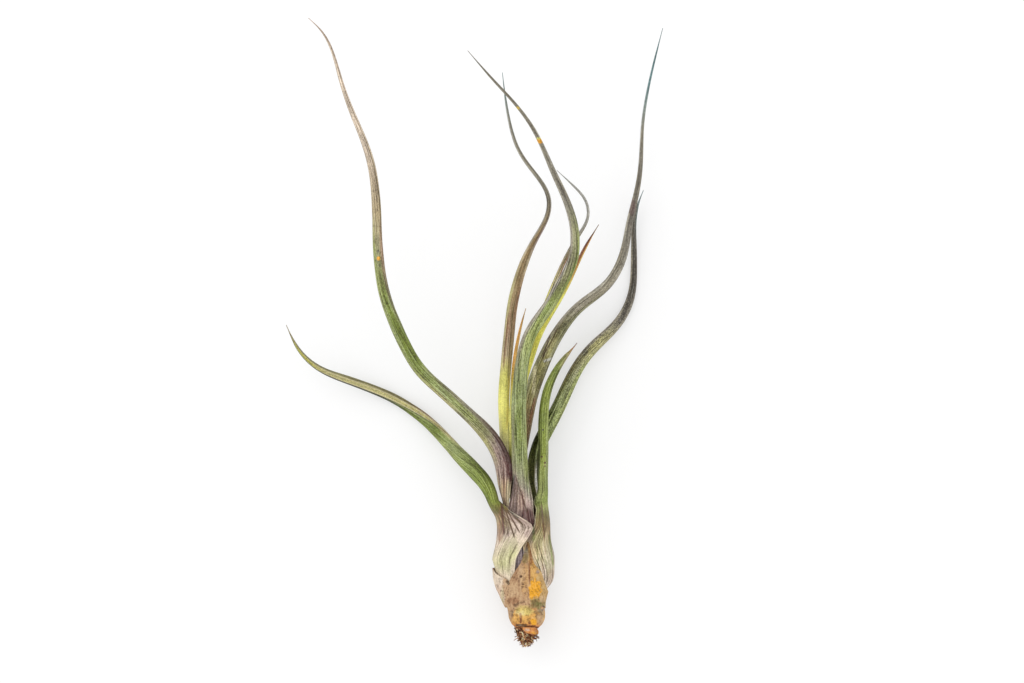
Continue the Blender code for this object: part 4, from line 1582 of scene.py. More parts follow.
LEAF_02 = leaf(
    "leaf_02", Slot.MOTTLED,
    Sheath(
        level=3, azimuth=-65,
        margins=((18.0, -143, 15), (34.0, -143, 12), (40.3, -125, -16), (46.0, -100, -42)),
        swell=((18.0, 0.0, 0.0), (37.0, 0.0, 0.0), (41.0, 0.5, 0.0), (46.0, 1.7, 0.0)),
        swell_azimuth=-135,
    ),
    Blade(
        route=(
            (-5.8, 53.3, 12.4, 5.2, -62), (-6.9, 61.3, 13.6, 5.8, -62), (-10.6, 69.3, 15.6, 5.4, -66),
            (-17.9, 77.1, 18.5, 4.6, -75), (-26.6, 85.1, 21.5, 4.2, -80),
            (-34.9, 93.2, 24.5, 4.1, -85), (-41.7, 105.3, 29.0, 4.0, -92),
            (-46.2, 117.3, 33.0, 3.7, -100), (-48.6, 133.3, 38.0, 3.3, -115),
            (-49.2, 149.3, 41.0, 2.9, -130), (-52.0, 165.3, 43.2, 2.4, -145),
            (-56.7, 177.3, 44.4, 1.85, -152), (-61.0, 189.3, 45.0, 1.3, -160),
            (-64.0, 199.3, 45.0, 0.9, -165), (-67.3, 205.3, 45.0, 0.8, -165),
            (-71.7, 209.7, 45.0, 0.5, -165),
        ),
        roll=((0.0, 92.0), (0.03, 135.0), (0.1, 158.0), (0.3, 170.0), (1.0, 171.0)),
    ),
    LeafSkin(
        left=(
            (18, T.MAUVE), (46, T.ROSE_GREY), (54, T.SAND), (60, T.MAUVE), (70, T.KHAKI),
            (78, T.GREY_GREEN), (85, T.KHAKI), (95, T.APPLE), (105, T.SAGE), (120, T.APPLE),
            (133, T.APPLE), (146, T.SAND), (165, T.DUSTY_PINK), (177, T.SHELL), (200, T.SHELL),
            (209, T.PINK_BEIGE),
        ),
        middle=(
            (18, T.MAUVE), (46, T.SHELL), (53, T.FAWN), (58, T.ROSE_GREY), (62, T.MAUVE),
            (67, T.MAUVE), (72, T.GREY_GREEN), (78, T.APPLE), (86, T.SAGE), (93, T.FERN),
            (105, T.LEAF), (117, T.FERN), (133, T.GREY_GREEN), (146, T.SAND), (165, T.DUSTY_PINK),
            (177, T.SHELL), (200, T.SHELL), (209, T.PINK_BEIGE),
        ),
        right=(
            (18, T.MAUVE), (46, T.SHELL), (50, T.SHELL), (57, T.MAROON), (62, T.PLUM), (70, T.PLUM),
            (78, T.STONE), (86, T.GREY_GREEN), (95, T.FERN), (105, T.LEAF), (117, T.GREY_GREEN),
            (133, T.ROSE_BROWN), (146, T.SAND), (178, T.SHELL), (209, T.PINK_BEIGE),
        ),
        lining=(
            (18, T.KHAKI), (120, T.SAGE), (145, T.CREAM), (190, T.PINK_BEIGE), (209, T.ROSE_BROWN),
        ),
        vein_tint=T.MAROON,
        bulb_vein_tint=T.PLUM,
        vein_tint_share=0.5,
        neck=56.0,
        marks=(
            Line(-8.6, 60.0, -7.4, 47.0, 0.4, T.PLUM, 0.6),
            Line(-6.9, 64.0, -6.5, 50.0, 0.3, T.MAROON, 0.7),
            Line(-5.6, 66.0, -5.7, 55.0, 0.3, T.MAROON, 0.7),
            Spot(-5.7, 51.0, 1.8, 5.0, T.FAWN, 0.6, 1.6, 1.0),
            Spot(-5.1, 51.5, 0.9, 4.2, T.CREAM, 0.75, 1.8, 0.9),
            Line(-7.1, 60.0, -6.7, 48.0, 0.2, T.UMBER, 0.6),
            Line(-5.9, 60.0, -5.8, 48.0, 0.2, T.UMBER, 0.6),
            Line(-4.8, 58.0, -5.2, 48.0, 0.2, T.UMBER, 0.6),
            Spot(-4.9, 60.0, 1.3, 3.6, T.MAROON, 0.95, 1.8, 0.7),
            Line(-7.3, 56.0, -8.3, 63.0, 0.25, T.UMBER, 0.5),
            Line(-6.4, 52.0, -6.8, 62.0, 0.22, T.UMBER, 0.5),
            Line(-6.2, 66.0, -12.0, 76.0, 0.5, T.PLUM, 0.5),
            Line(-3.9, 58.0, -10.0, 71.5, 0.8, T.PLUM, 0.95),
            Line(-4.6, 57.0, -7.6, 66.5, 0.35, T.MAROON, 0.8),
            Line(-3.9, 54.0, -5.2, 62.5, 0.6, T.MAROON, 0.7),
            Spot(-48.4, 129.8, 0.6, 0.7, T.AMBER, 1.0, 0.3),
            Spot(-48.6, 132.2, 0.4, 0.5, T.CHARCOAL, 0.7),
            Spot(-48.0, 127.4, 0.4, 0.4, T.CHARCOAL, 0.6),
        ),
    ),
    seed=2,
)
LEAF_09 = leaf(
    "leaf_09", Slot.DARK,
    Sheath(
        level=3, azimuth=125,
        margins=((18.0, 46, 203), (34.0, 46, 203), (40.3, 70, 190), (46.0, 98, 165)),
    ),
    Blade(
        route=(
            (2.3, 56.0, 6.7, 4.0, 133), (5.9, 69.3, 6.7, 4.7, 138), (12.0, 81.3, 6.5, 4.5, 145),
            (17.8, 93.3, 5.8, 4.2, 150), (24.3, 101.3, 4.6, 3.8, 155), (32.0, 109.3, 2.6, 3.1, 160),
            (35.7, 117.3, 1.3, 2.6, 162), (36.7, 125.3, 1.05, 2.2, 165), (36.7, 135.3, 1.8, 1.8, 165),
            (37.3, 145.3, 3.2, 1.3, 165), (39.9, 152.7, 4.6, 0.5, 165),
        ),
        roll=((0.0, 92.0), (0.15, 165.0), (0.25, 179.3), (1.0, 179.3)),
    ),
    LeafSkin(
        left=(
            (18, T.PLUM), (56, T.DEEP_GREEN), (70, T.DEEP_GREEN), (81, T.MOSS), (93, T.OLIVE),
            (100, T.STONE), (110, T.STONE), (117, T.SLATE), (126, T.STONE), (136, T.STONE),
            (146, T.SLATE), (152, T.TEAL),
        ),
        middle=(
            (18, T.PLUM), (50, T.MOSS), (57, T.DEEP_GREEN), (64, T.MOSS), (70, T.FERN), (81, T.SAGE),
            (93, T.GREY_GREEN), (101, T.KHAKI), (109, T.SLATE), (117, T.CHARCOAL), (136, T.CHARCOAL),
            (146, T.SLATE), (152, T.TEAL),
        ),
        right=(
            (18, T.PLUM), (46, T.SILVER), (57, T.SILVER), (64, T.STONE), (70, T.FERN), (81, T.APPLE),
            (93, T.APPLE), (101, T.KHAKI), (109, T.STONE), (117, T.SLATE), (136, T.SLATE),
            (152, T.TEAL),
        ),
        lining=((18, T.KHAKI), (70, T.MOSS), (90, T.OLIVE), (110, T.SLATE), (152, T.CHARCOAL)),
        marks=(
            Spot(14.8, 93.0, 0.7, 1.6, T.CHARCOAL, 0.7, 0.6),
            Spot(20.5, 98.5, 0.9, 1.2, T.CHARCOAL, 0.6, 0.7),
            Line(6.4, 79.0, 15.0, 93.0, 0.5, T.UMBER, 0.7),
        ),
        scurf=3.4,
    ),
    seed=9,
)
LEAF_04 = leaf(
    "leaf_04", Slot.YELLOW,
    Sheath(
        level=4, azimuth=-135,
        margins=((19.4, -213, -57), (34.0, -213, -57), (40.3, -195, -75), (46.0, -168, -100)),
    ),
    Blade(
        route=(
            (-4.5, 56.0, 6.8, 3.6, -132), (-6.0, 66.7, 8.5, 3.7, -135), (-6.7, 81.3, 13.0, 3.7, -140),
            (-5.7, 97.3, 18.5, 3.6, -145), (-3.2, 117.3, 25.0, 3.4, -150),
            (-0.2, 127.7, 27.8, 3.0, -152), (4.3, 137.3, 29.5, 2.0, -155),
            (8.0, 144.8, 30.4, 1.65, -160), (8.2, 149.8, 30.8, 1.5, -160),
            (4.2, 157.3, 31.3, 1.35, -160), (-1.5, 165.3, 31.8, 1.2, -160),
            (-4.6, 174.3, 32.0, 1.0, -160), (-7.2, 191.7, 32.0, 0.5, -160),
        ),
        roll=((0.0, 92.0), (0.07, 160.0), (0.12, 179.3), (0.45, 179.3), (0.55, 174.0), (1.0, 174.0)),
    ),
    LeafSkin(
        # The butter yellow is brighter than the leaf's own yellow: painted light that offsets the shade of
        # the leaves beside it.
        left=(
            (19, T.UMBER), (56, T.UMBER), (59, T.HAZEL), (65, T.CREAM), (80, T.BUTTER), (90, T.LEMON),
            (98, T.SAND), (117, T.KHAKI), (128, T.SAND), (138, T.ASH), (150, T.SLATE), (158, T.ASH),
            (174, T.SILVER), (191, T.TEAL),
        ),
        middle=(
            (19, T.UMBER), (56, T.UMBER), (59, T.HAZEL), (65, T.CREAM), (74, T.BUTTER), (85, T.BUTTER),
            (92, T.LEMON), (98, T.SAND), (106, T.ROSE_BROWN), (117, T.BRONZE), (128, T.BRONZE),
            (138, T.BRONZE), (150, T.STONE), (165, T.STONE), (176, T.ASH), (191, T.TEAL),
        ),
        right=(
            (19, T.UMBER), (56, T.UMBER), (59, T.HAZEL), (65, T.CREAM), (76, T.BUTTER), (86, T.LEMON),
            (98, T.SAND), (117, T.HAZEL), (128, T.SAND), (138, T.MAUVE), (150, T.ASH), (165, T.STONE),
            (191, T.TEAL),
        ),
        lining=(
            (19, T.UMBER), (56, T.UMBER), (66, T.LEMON), (90, T.LEMON), (100, T.ROSE_BROWN),
            (130, T.OLIVE), (150, T.SLATE), (191, T.SLATE),
        ),
        marks=(
            Line(-7.0, 92.0, -5.2, 112.0, 0.25, T.RUST, 0.6),
            Line(-5.6, 88.0, -3.5, 116.0, 0.25, T.OLIVE, 0.6),
            Line(-5.8, 72.0, -4.9, 92.0, 0.3, T.GOLD, 0.5),
        ),
        vein_depth=0.6,
        smooth_end=90.0,
        scurf=1.0,
    ),
    seed=4,
)
LEAF_07 = leaf(
    "leaf_07", Slot.YELLOW,
    Sheath(
        level=4, azimuth=45,
        margins=((19.4, -25, 115), (34.0, -25, 115), (40.3, -5, 95), (46.0, 12, 78)),
    ),
    Blade(
        route=(
            (0.6, 56.0, 10.2, 1.6, 45), (0.1, 69.0, 12.5, 1.7, 30), (-0.2, 79.0, 14.5, 1.7, 10),
            (0.2, 88.0, 16.5, 1.7, -10), (2.3, 95.7, 18.3, 1.7, -20), (5.7, 105.3, 20.5, 1.7, -20),
            (13.3, 118.7, 24.0, 1.6, -20), (20.3, 133.3, 27.0, 1.1, -20),
            (24.9, 141.1, 28.5, 0.5, -20),
        ),
    ),
    LeafSkin(
        left=(
            (19, T.UMBER), (56, T.UMBER), (66, T.LEMON), (100, T.YELLOW), (118, T.YELLOW),
            (124, T.KHAKI), (130, T.HAZEL), (136, T.MAROON), (141, T.MAROON),
        ),
        middle=(
            (19, T.UMBER), (56, T.UMBER), (66, T.LEMON), (100, T.YELLOW), (118, T.YELLOW),
            (125, T.ORANGE), (130, T.RUST), (141, T.MAROON),
        ),
        right=(
            (19, T.UMBER), (56, T.UMBER), (66, T.LEMON), (100, T.YELLOW), (118, T.LEMON),
            (128, T.GOLD), (136, T.HONEY), (141, T.GOLD),
        ),
        lining=((19, T.UMBER), (56, T.UMBER), (66, T.LEMON), (120, T.YELLOW), (141, T.RUST)),
        vein_depth=0.5,
    ),
    seed=7,
)
LEAF_05 = leaf(
    "leaf_05", Slot.YELLOW,
    Sheath(
        level=5, azimuth=-60,
        margins=((21.2, -128, 8), (34.0, -128, 8), (40.3, -110, -10), (46.0, -85, -35)),
    ),
    Blade(
        route=(
            (-2.4, 56.0, 11.0, 1.2, -60), (-4.3, 66.3, 13.0, 1.3, -60), (-4.3, 76.0, 15.5, 1.3, -60),
            (-3.9, 87.3, 18.5, 1.25, -60), (-2.3, 101.3, 22.5, 1.1, -60), (0.6, 113.2, 26.0, 0.5, -60),
        ),
    ),
    LeafSkin(
        # The butter yellow is brighter than the leaf's own yellow: painted light that offsets the shade of
        # the leaves round it.
        left=(
            (21, T.UMBER), (57, T.UMBER), (65, T.LEMON), (76, T.BUTTER), (84, T.LEMON), (90, T.GOLD),
            (95, T.AMBER), (113, T.HONEY),
        ),
        middle=(
            (21, T.UMBER), (57, T.UMBER), (65, T.LEMON), (76, T.BUTTER), (84, T.LEMON), (90, T.GOLD),
            (95, T.HONEY), (113, T.HONEY),
        ),
        right=(
            (21, T.UMBER), (57, T.UMBER), (65, T.LEMON), (84, T.YELLOW), (95, T.GOLD), (104, T.HONEY),
            (113, T.GOLD),
        ),
        lining=((21, T.UMBER), (56, T.UMBER), (66, T.LEMON), (90, T.LEMON), (113, T.ORANGE)),
        vein_depth=0.5,
    ),
    seed=5,
)
LEAF_06 = leaf(
    "leaf_06", Slot.YELLOW,
    Sheath(
        level=5, azimuth=150,
        margins=((21.2, 82, 218), (34.0, 82, 218), (40.3, 100, 200), (46.0, 125, 175)),
    ),
    Blade(
        route=(
            (-0.9, 56.0, 8.3, 1.5, 150), (-2.3, 69.0, 10.0, 1.6, 155), (-1.3, 83.0, 13.0, 1.65, 160),
            (0.7, 93.0, 15.0, 1.65, 165), (5.3, 109.0, 18.5, 1.65, 170), (11.8, 125.3, 21.5, 1.5, 170),
            (18.0, 137.3, 23.5, 1.2, 170), (21.2, 143.5, 24.0, 1.0, 170),
            (20.6, 148.8, 24.0, 0.9, 170), (17.0, 153.5, 24.0, 0.75, 170),
            (10.9, 159.2, 24.0, 0.5, 170),
        ),
    ),
    LeafSkin(
        left=(
            (21, T.UMBER), (56, T.UMBER), (66, T.LEMON), (100, T.YELLOW), (118, T.YELLOW),
            (126, T.SAND), (134, T.ASH), (143, T.SILVER), (159, T.SILVER),
        ),
        middle=(
            (21, T.UMBER), (56, T.UMBER), (66, T.LEMON), (100, T.LEMON), (122, T.CREAM), (130, T.SAND),
            (136, T.ASH), (143, T.SILVER), (159, T.SILVER),
        ),
        right=(
            (21, T.UMBER), (56, T.UMBER), (66, T.LEMON), (100, T.YELLOW), (116, T.BRONZE),
            (130, T.RUST), (136, T.OLIVE), (143, T.ASH), (159, T.SILVER),
        ),
        lining=(
            (21, T.UMBER), (56, T.UMBER), (66, T.LEMON), (125, T.CREAM), (142, T.CREAM),
            (159, T.SILVER),
        ),
        vein_depth=0.5,
    ),
    seed=6,
)
LEAVES = (LEAF_01, LEAF_10, LEAF_03, LEAF_08, LEAF_02, LEAF_09, LEAF_04, LEAF_07, LEAF_05, LEAF_06)

HUSK_FRONT = husk(
    "husk_front", Slot.HUSK_TAN,
    Sheath(
        level=-0.95, azimuth=20,
        margins=(
            (13.1, -74, 118), (15.0, -72, 118), (18.0, -52, 92), (19.5, -43, 64), (21.3, -34, 49),
            (25.4, -17, 32), (28.4, -6, 18), (33.0, 2, 12), (35.4, 6, 8.5),
        ),
        swell=(
            (13.1, 0.0, 0.25), (15.5, 0.0, 0.15), (18.0, 0.0, 0.5), (21.5, 0.0, 0.4),
            (26.5, 0.0, -0.35), (30.0, 0.0, 0.8), (36.0, 0.0, 0.6),
        ),
        wall=0.3,
    ),
    HuskSkin(
        ground=(
            (13.1, T.TAN), (16, T.TAN), (20, T.TAN), (24, T.TAN), (30, T.TAN), (32.5, T.STONE),
            (35.4, T.RUST),
        ),
        marks=(
            Spot(-3.0, 24.5, 2.0, 2.6, T.HAZEL, 0.7, 0.9, 0.7),
            Spot(0.4, 23.0, 1.2, 5.0, T.HONEY, 0.35, 0.9, 0.6),
            Spot(-0.7, 24.5, 1.2, 3.2, T.FAWN, 0.5, 0.8, 0.8),
            Spot(-3.7, 15.7, 1.8, 1.2, T.RUST, 0.45, 0.8, 0.8),
            Panel(((1.3, 33.5, 2.2, 18.0), (8.0, 40.0, -2.0, 40.0)), T.STRAW, 0.85, 0.25),
            Spot(3.2, 26.0, 1.2, 4.5, T.HONEY, 0.7, 1.2, 0.6),
            Spot(3.8, 19.6, 2.0, 3.1, T.AMBER, 1.0, 0.7, 0.3),
            Spot(2.6, 18.0, 0.9, 1.8, T.AMBER, 1.0, 0.6), Spot(2.4, 31.0, 0.6, 3.0, T.RUST, 0.7, 0.3),
            Spot(1.9, 25.0, 0.25, 4.0, T.RUST, 0.8, 0.2),
            Spot(5.0, 14.2, 2.6, 2.2, T.BRONZE, 0.8, 0.9, 0.9),
            Spot(3.6, 14.8, 1.6, 1.5, T.OLIVE, 0.6, 1.2, 0.8),
            Spot(-0.3, 13.3, 2.3, 0.9, T.PEAR, 0.6, 0.6, 0.8),
            Spot(5.6, 14.0, 1.4, 1.6, T.MOSS, 0.4, 1.4, 0.6),
            Spot(6.2, 16.4, 1.0, 1.2, T.FAWN, 0.6, 0.8, 0.6),
            Spot(6.3, 13.5, 0.7, 0.5, T.PLUM, 0.9, 0.3),
            # Painted shadow: these two umber streaks darken the fold above the husk's foot.
            Line(-3.6, 13.9, -1.5, 15.0, 0.45, T.UMBER, 0.65, 0.5),
            Line(-1.7, 14.9, 0.5, 15.6, 0.35, T.UMBER, 0.55, 0.5),
            Spot(-1.0, 23.8, 0.5, 0.4, T.UMBER, 0.9, 0.3),
            Spot(-0.3, 21.2, 0.5, 0.25, T.UMBER, 0.7, 0.3),
            Spot(-0.4, 20.4, 0.6, 0.2, T.UMBER, 0.6, 0.3),
            Spot(4.6, 25.4, 0.6, 0.6, T.MAUVE, 0.9, 0.3),
            Spot(-5.6, 21.6, 1.0, 0.7, T.UMBER, 0.95, 0.5),
            Spot(0.4, 29.8, 1.1, 1.6, T.OLIVE, 0.6, 0.5), Spot(-4.2, 19.0, 1.4, 2.2, T.FAWN, 0.5, 0.5),
        ),
    ),
    seed=21,
    hem=0.7,
    relief=(
        Crease(11, 24, 4, 12, 0.3), Crease(-16, 15.3, 12, 0.9, -0.3), Crease(22, 19.5, 14, 3, 0.35),
        Crease(-20, 21, 9, 2.5, 0.2), Crease(-2, 17.5, 8, 1.6, 0.22), Crease(40, 15.5, 14, 1.6, 0.25),
        Crease(-45, 17, 8, 3, -0.2), Crease(4, 26, 5, 1.0, -0.12), Crease(30, 25, 5, 1.4, 0.15),
    ),
)
HUSK_LEFT = husk(
    "husk_left", Slot.HUSK_PALE,
    Sheath(
        level=-0.95, azimuth=-110,
        margins=(
            (13.6, -150, -72), (18.0, -150, -46), (21.3, -150, -30), (22.4, -148, -34),
            (24.5, -138, -60), (26.6, -106, -84),
        ),
        wall=0.45,
    ),
    HuskSkin(
        ground=(
            (13.6, T.TAN), (16, T.PINK_BEIGE), (19, T.PINK_BEIGE), (22, T.SHELL), (25.4, T.SHELL),
            (26.6, T.RUST),
        ),
        marks=(
            Spot(-5.4, 21.0, 1.8, 4.5, T.TAN, 0.9, 0.4, 0.6),
            Spot(-5.2, 22.0, 1.0, 0.7, T.UMBER, 0.9, 0.5), Spot(-8.8, 25.6, 0.5, 1.2, T.RUST, 0.7),
            Spot(-7.2, 17.0, 0.6, 3.0, T.KHAKI_CREAM, 0.5),
        ),
        vein_depth=0.6,
        pits=0.2,
    ),
    seed=22,
    hem=0.2,
    relief=(Crease(-72, 19, 12, 3, 0.2), Crease(-36, 18.5, 16, 6, -0.6)),
)
HUSK_BASE = husk(
    "husk_base", Slot.HUSK_TAN,
    Sheath(
        level=-0.95, azimuth=0,
        margins=((6.5, -150, 150), (8.0, -150, 150), (10.3, -150, 150), (14.2, -150, 150)),
        swell=(
            (6.5, 0.0, 0.9), (7.6, 0.0, 0.15), (8.6, 0.0, 0.0), (12.3, 0.0, 0.0), (13.4, 0.0, 0.5),
            (14.2, 0.0, 0.55),
        ),
        wall=0.45,
    ),
    HuskSkin(
        ground=(
            (6.5, T.RUST), (7.3, T.ORANGE), (9, T.HONEY), (11, T.HONEY), (12.8, T.CINNAMON),
            (14.2, T.CINNAMON),
        ),
        marks=(
            Spot(0.1, 12.3, 2.8, 1.8, T.PEAR, 1.0, 0.4, 0.7),
            Spot(5.8, 11.8, 0.9, 2.2, T.STONE, 0.7, 1.6, 0.7),
            Spot(5.2, 12.0, 0.5, 0.4, T.UMBER, 0.8, 0.5), Spot(5.9, 11.2, 0.4, 0.3, T.UMBER, 0.8, 0.5),
            # Painted shade: this umber patch darkens a fold on the left of the foot.
            Spot(-4.0, 10.6, 0.5, 1.6, T.UMBER, 0.6, 0.6),
            Spot(-1.2, 11.6, 1.5, 0.9, T.CREAM, 0.25, 0.7, 0.7),
            Spot(-2.8, 9.9, 1.2, 1.1, T.HONEY, 0.9, 0.6, 0.6),
            Spot(0.8, 9.6, 1.3, 1.1, T.HONEY, 0.9, 0.6, 0.6),
            Spot(-1.2, 10.6, 0.5, 1.2, T.HAZEL, 0.8, 0.5, 0.6),
            Spot(3.1, 8.6, 1.15, 1.05, T.AMBER, 1.0, 0.45),
            Spot(-1.1, 9.2, 0.35, 1.0, T.RUST, 0.9, 0.3), Spot(1.9, 8.3, 0.5, 0.7, T.RUST, 0.7, 0.4),
            Spot(4.9, 11.4, 1.2, 1.9, T.BRONZE, 0.6, 0.9, 0.6),
            Spot(5.6, 9.0, 0.9, 1.6, T.FAWN, 0.8, 0.4), Spot(-4.4, 11.9, 1.0, 1.6, T.STONE, 0.6, 0.5),
            Spot(-5.0, 10.0, 1.2, 2.4, T.TAN, 0.85, 0.8, 0.7),
            Spot(5.2, 9.6, 1.0, 2.0, T.TAN, 0.7, 0.8, 0.7),
            # Painted shade: the umber band at y 7.5 and the rust band at y 7.2 darken the gap above the
            # basal scale.
            Spot(-0.7, 7.5, 2.4, 0.5, T.UMBER, 0.9, 0.5), Spot(6.1, 12.6, 0.4, 0.4, T.PLUM, 0.9, 0.3),
            Spot(2.4, 7.2, 1.6, 0.4, T.RUST, 0.8, 0.5),
        ),
    ),
    seed=23,
    hem=0.4,
    relief=(
        Crease(-10, 11.9, 24, 1.5, 0.5), Crease(-30, 9.6, 14, 1.1, 0.38),
        Crease(-3, 9.3, 11, 1.0, 0.35), Crease(24, 9.1, 13, 1.2, 0.4), Crease(50, 11.2, 16, 1.6, 0.3),
        Crease(-17, 9.4, 3, 1.2, -0.3), Crease(10, 8.9, 3, 1.2, -0.3), Crease(20, 11.0, 14, 0.6, -0.2),
    ),
)
BASAL_SCALE = husk(
    "basal_scale", Slot.HUSK_PALE,
    Sheath(
        level=-0.95, azimuth=20,
        margins=((4.3, 22, 50), (4.7, 8, 58), (5.3, -8, 60), (6.2, -18, 52), (7.0, -20, 26)),
        wall=0.5,
    ),
    HuskSkin(
        ground=((4.4, T.RUST), (5.0, T.ORANGE), (5.8, T.ORANGE), (6.6, T.ORANGE), (7.3, T.RUST)),
        marks=(
            Spot(3.6, 5.0, 1.2, 0.5, T.AMBER, 0.6),
            # Painted highlight: the pinkish-beige patch on the scale's left part.
            Spot(1.2, 6.0, 1.0, 0.5, T.PINK_BEIGE, 0.8, 0.6, 0.6),
            Spot(4.3, 5.6, 0.8, 0.9, T.RUST, 0.6, 0.6, 0.6),
        ),
        pits=0.2,
    ),
    seed=24,
    hem=0.2,
    across=32,
)
HUSKS = (HUSK_FRONT, HUSK_LEFT, HUSK_BASE, BASAL_SCALE)


@dataclass(frozen=True)
class RootKind:
    """How the roots of one kind grow, as ranges that each root draws from.

    down is how strongly they head away from the leaves, and sway is how far the direction
    turns at each step on each axis, with None for an axis that it doesn't turn along.
    """

    step: Span
    sway: tuple[Span | None, Span | None, Span | None]
    thickness: Span
    down: Span = (0.0, 0.0)
    joints: int = 5

    def curl(
        self, start: np.ndarray, way: np.ndarray, step: float, draw: random.Random
    ) -> list[np.ndarray]:
        """Points of a root that turns a little at each step.

        Args:
            start: where it starts.
            way: its first direction.
            step: millimetres from point to point.
            draw: the source of random numbers.

        Returns:
            The points.
        """
        points = [start]
        for _ in range(self.joints):
            way = unit(way)
            points.append(points[-1] + way * step)
            way = way + np.array([draw.uniform(*span) if span else 0.0 for span in self.sway])
        return points


SHORT_ROOT = RootKind(
    step=(0.3, 0.6),
    sway=((-0.9, 0.9), (-0.7, 0.4), (-0.9, 0.9)),
    thickness=(0.1, 0.19),
    down=(0.2, 0.9),
)
STRAY_ROOT = RootKind(
    step=(0.32, 0.46),
    sway=((-0.8, 0.8), (-0.6, 0.5), (-0.6, 0.6)),
    thickness=(0.13, 0.22),
    down=(0.5, 1.1),
)
LONG_ROOT = RootKind(step=(0.42, 0.42), sway=(None, (-0.6, 0.5), (-0.4, 0.2)), thickness=(0.16, 0.16))


@dataclass
class RootCrown:
    """The short stem inside the bulb, and the tuft of wiry roots at its foot.

    butt and cone hold (radius, y), foot holds (y, radius) of the surface that the thicker
    roots curl over, and long_roots holds (x, y, direction x, direction y).
    """

    butt_x: float = 0.9
    butt: Table = (
        (0.0, 13.3), (5.0, 13.3), (5.1, 12.0), (4.8, 10.3), (3.75, 7.4), (3.5, 6.6), (3.2, 5.2), (2.5, 4.2),
        (1.5, 3.6), (0.0, 3.3),
    )
    cone: Table = (
        (0.0, 24.2), (0.7, 23.6), (2.2, 20.8), (2.6, 19.0), (3.0, 17.6), (3.35, 16.0), (3.85, 14.2),
        (4.4, 12.2), (4.2, 11.2), (0.0, 10.8),
    )
    foot: Table = ((0.8, 0.5), (1.9, 1.2), (3.0, 1.9), (4.5, 2.7), (6.6, 3.2), (7.4, 3.6), (9.0, 4.4))
    short_roots: int = 110
    knot_roots: int = 75
    stray_roots: int = 33
    root_seed: int = 7
    scale_foot: float = 4.3
    long_roots: Table = (
        (-1.4, 4.4, -0.9, -0.35), (-1.6, 3.0, -0.9, 0.3), (2.7, 3.4, 1.0, -0.6), (2.5, 2.8, 0.9, 0.2),
    )
    waviness: float = 0.03
    waves_round: int = 5
    disc_low: float = 2.4
    disc_rise: float = 3.6
    disc_reach: float = 2.9
    disc_shift: float = 0.2
    stray_shift: float = -0.3
    stray_y: Span = (2.4, 4.2)
    stray_rise: Span = (-0.5, 2.0)
    stray_reach: Span = (1.0, 2.0)
    stray_turn: float = 80.0
    stray_flat: tuple[float, float] = (0.85, 0.35)
    knot_y: Span = (0.9, 7.0)
    knot_turn: float = 85.0
    knot_left_end: float = -25.0
    knot_height: Span = (0.15, 0.7)
    knot_step: Span = (0.35, 0.6)
    knot_heading: float = 1.1
    knot_climb: Span = (-0.25, 0.3)
    knot_heights: Span = (0.1, 1.1)
    knot_lowest: float = 0.3
    knot_points: int = 6
    knot_thickness: Span = (0.15, 0.3)
    long_rise: float = 1.0
    long_lift: float = 0.1
    root_start: float = 1.15
    root_taper: float = 0.13

    def turned(self, name: str, profile: Table, x: float) -> bpy.types.Object:
        """A solid turned about the plant's long axis.

        Args:
            name: its name.
            profile: (radius, y) from the top down.
            x: its sideways place.

        Returns:
            The solid.
        """
        rows = np.array(profile)
        bpy.ops.object.select_all(action="DESELECT")
        bpy.ops.mesh.primitive_uv_sphere_add(segments=40, ring_count=28, radius=1.0)
        piece = bpy.context.object
        piece.name = name
        mesh = piece.data
        flat = np.zeros(len(mesh.vertices) * 3)
        mesh.vertices.foreach_get("co", flat)
        ball = flat.reshape(-1, 3)
        run = np.concatenate([[0], np.cumsum(np.hypot(*np.diff(rows, axis=0).T))])
        polar = np.arccos(np.clip(ball[:, 2], -1, 1)) / math.pi * run[-1]
        radius = np.interp(polar, run, rows[:, 0])
        y = np.interp(polar, run, rows[:, 1])
        turn = np.arctan2(ball[:, 1], ball[:, 0])
        radius = radius * (1 + self.waviness * np.sin(self.waves_round * turn + y))
        spots = np.stack([x + radius * np.cos(turn), y, AXIS_HEIGHT - radius * np.sin(turn)], axis=1)
        spots = (spots - (ORIGIN_X, ORIGIN_Y, 0.0)) * MM
        mesh.vertices.foreach_set("co", spots.ravel())
        mesh.update()
        bpy.ops.object.mode_set(mode="EDIT")
        bpy.ops.mesh.select_all(action="SELECT")
        bpy.ops.mesh.normals_make_consistent(inside=False)
        bpy.ops.object.mode_set(mode="OBJECT")
        bpy.ops.object.shade_smooth_by_angle(angle=math.radians(SMOOTH_STEM))
        return piece

    def short_root(self, name: str, draw: random.Random) -> bpy.types.Object:
        """A short wiry root that curls on the foot of the crown.

        Args:
            name: its name.
            draw: the source of random numbers.

        Returns:
            The root.
        """
        turn = draw.uniform(0, 2 * math.pi)
        spread = math.sqrt(draw.uniform(0.0, 1.0))
        outward = np.array([math.cos(turn), 0.0, math.sin(turn)])
        low = self.disc_low + self.disc_rise * spread**2
        start = np.array([self.butt_x + self.disc_shift, low, AXIS_HEIGHT])
        start = start + outward * self.disc_reach * spread
        way = outward * (0.2 + 0.5 * spread) - ALONG_BULB * draw.uniform(*SHORT_ROOT.down)
        points = SHORT_ROOT.curl(start, way, draw.uniform(*SHORT_ROOT.step), draw)
        return self.root(name, points, draw.uniform(*SHORT_ROOT.thickness))

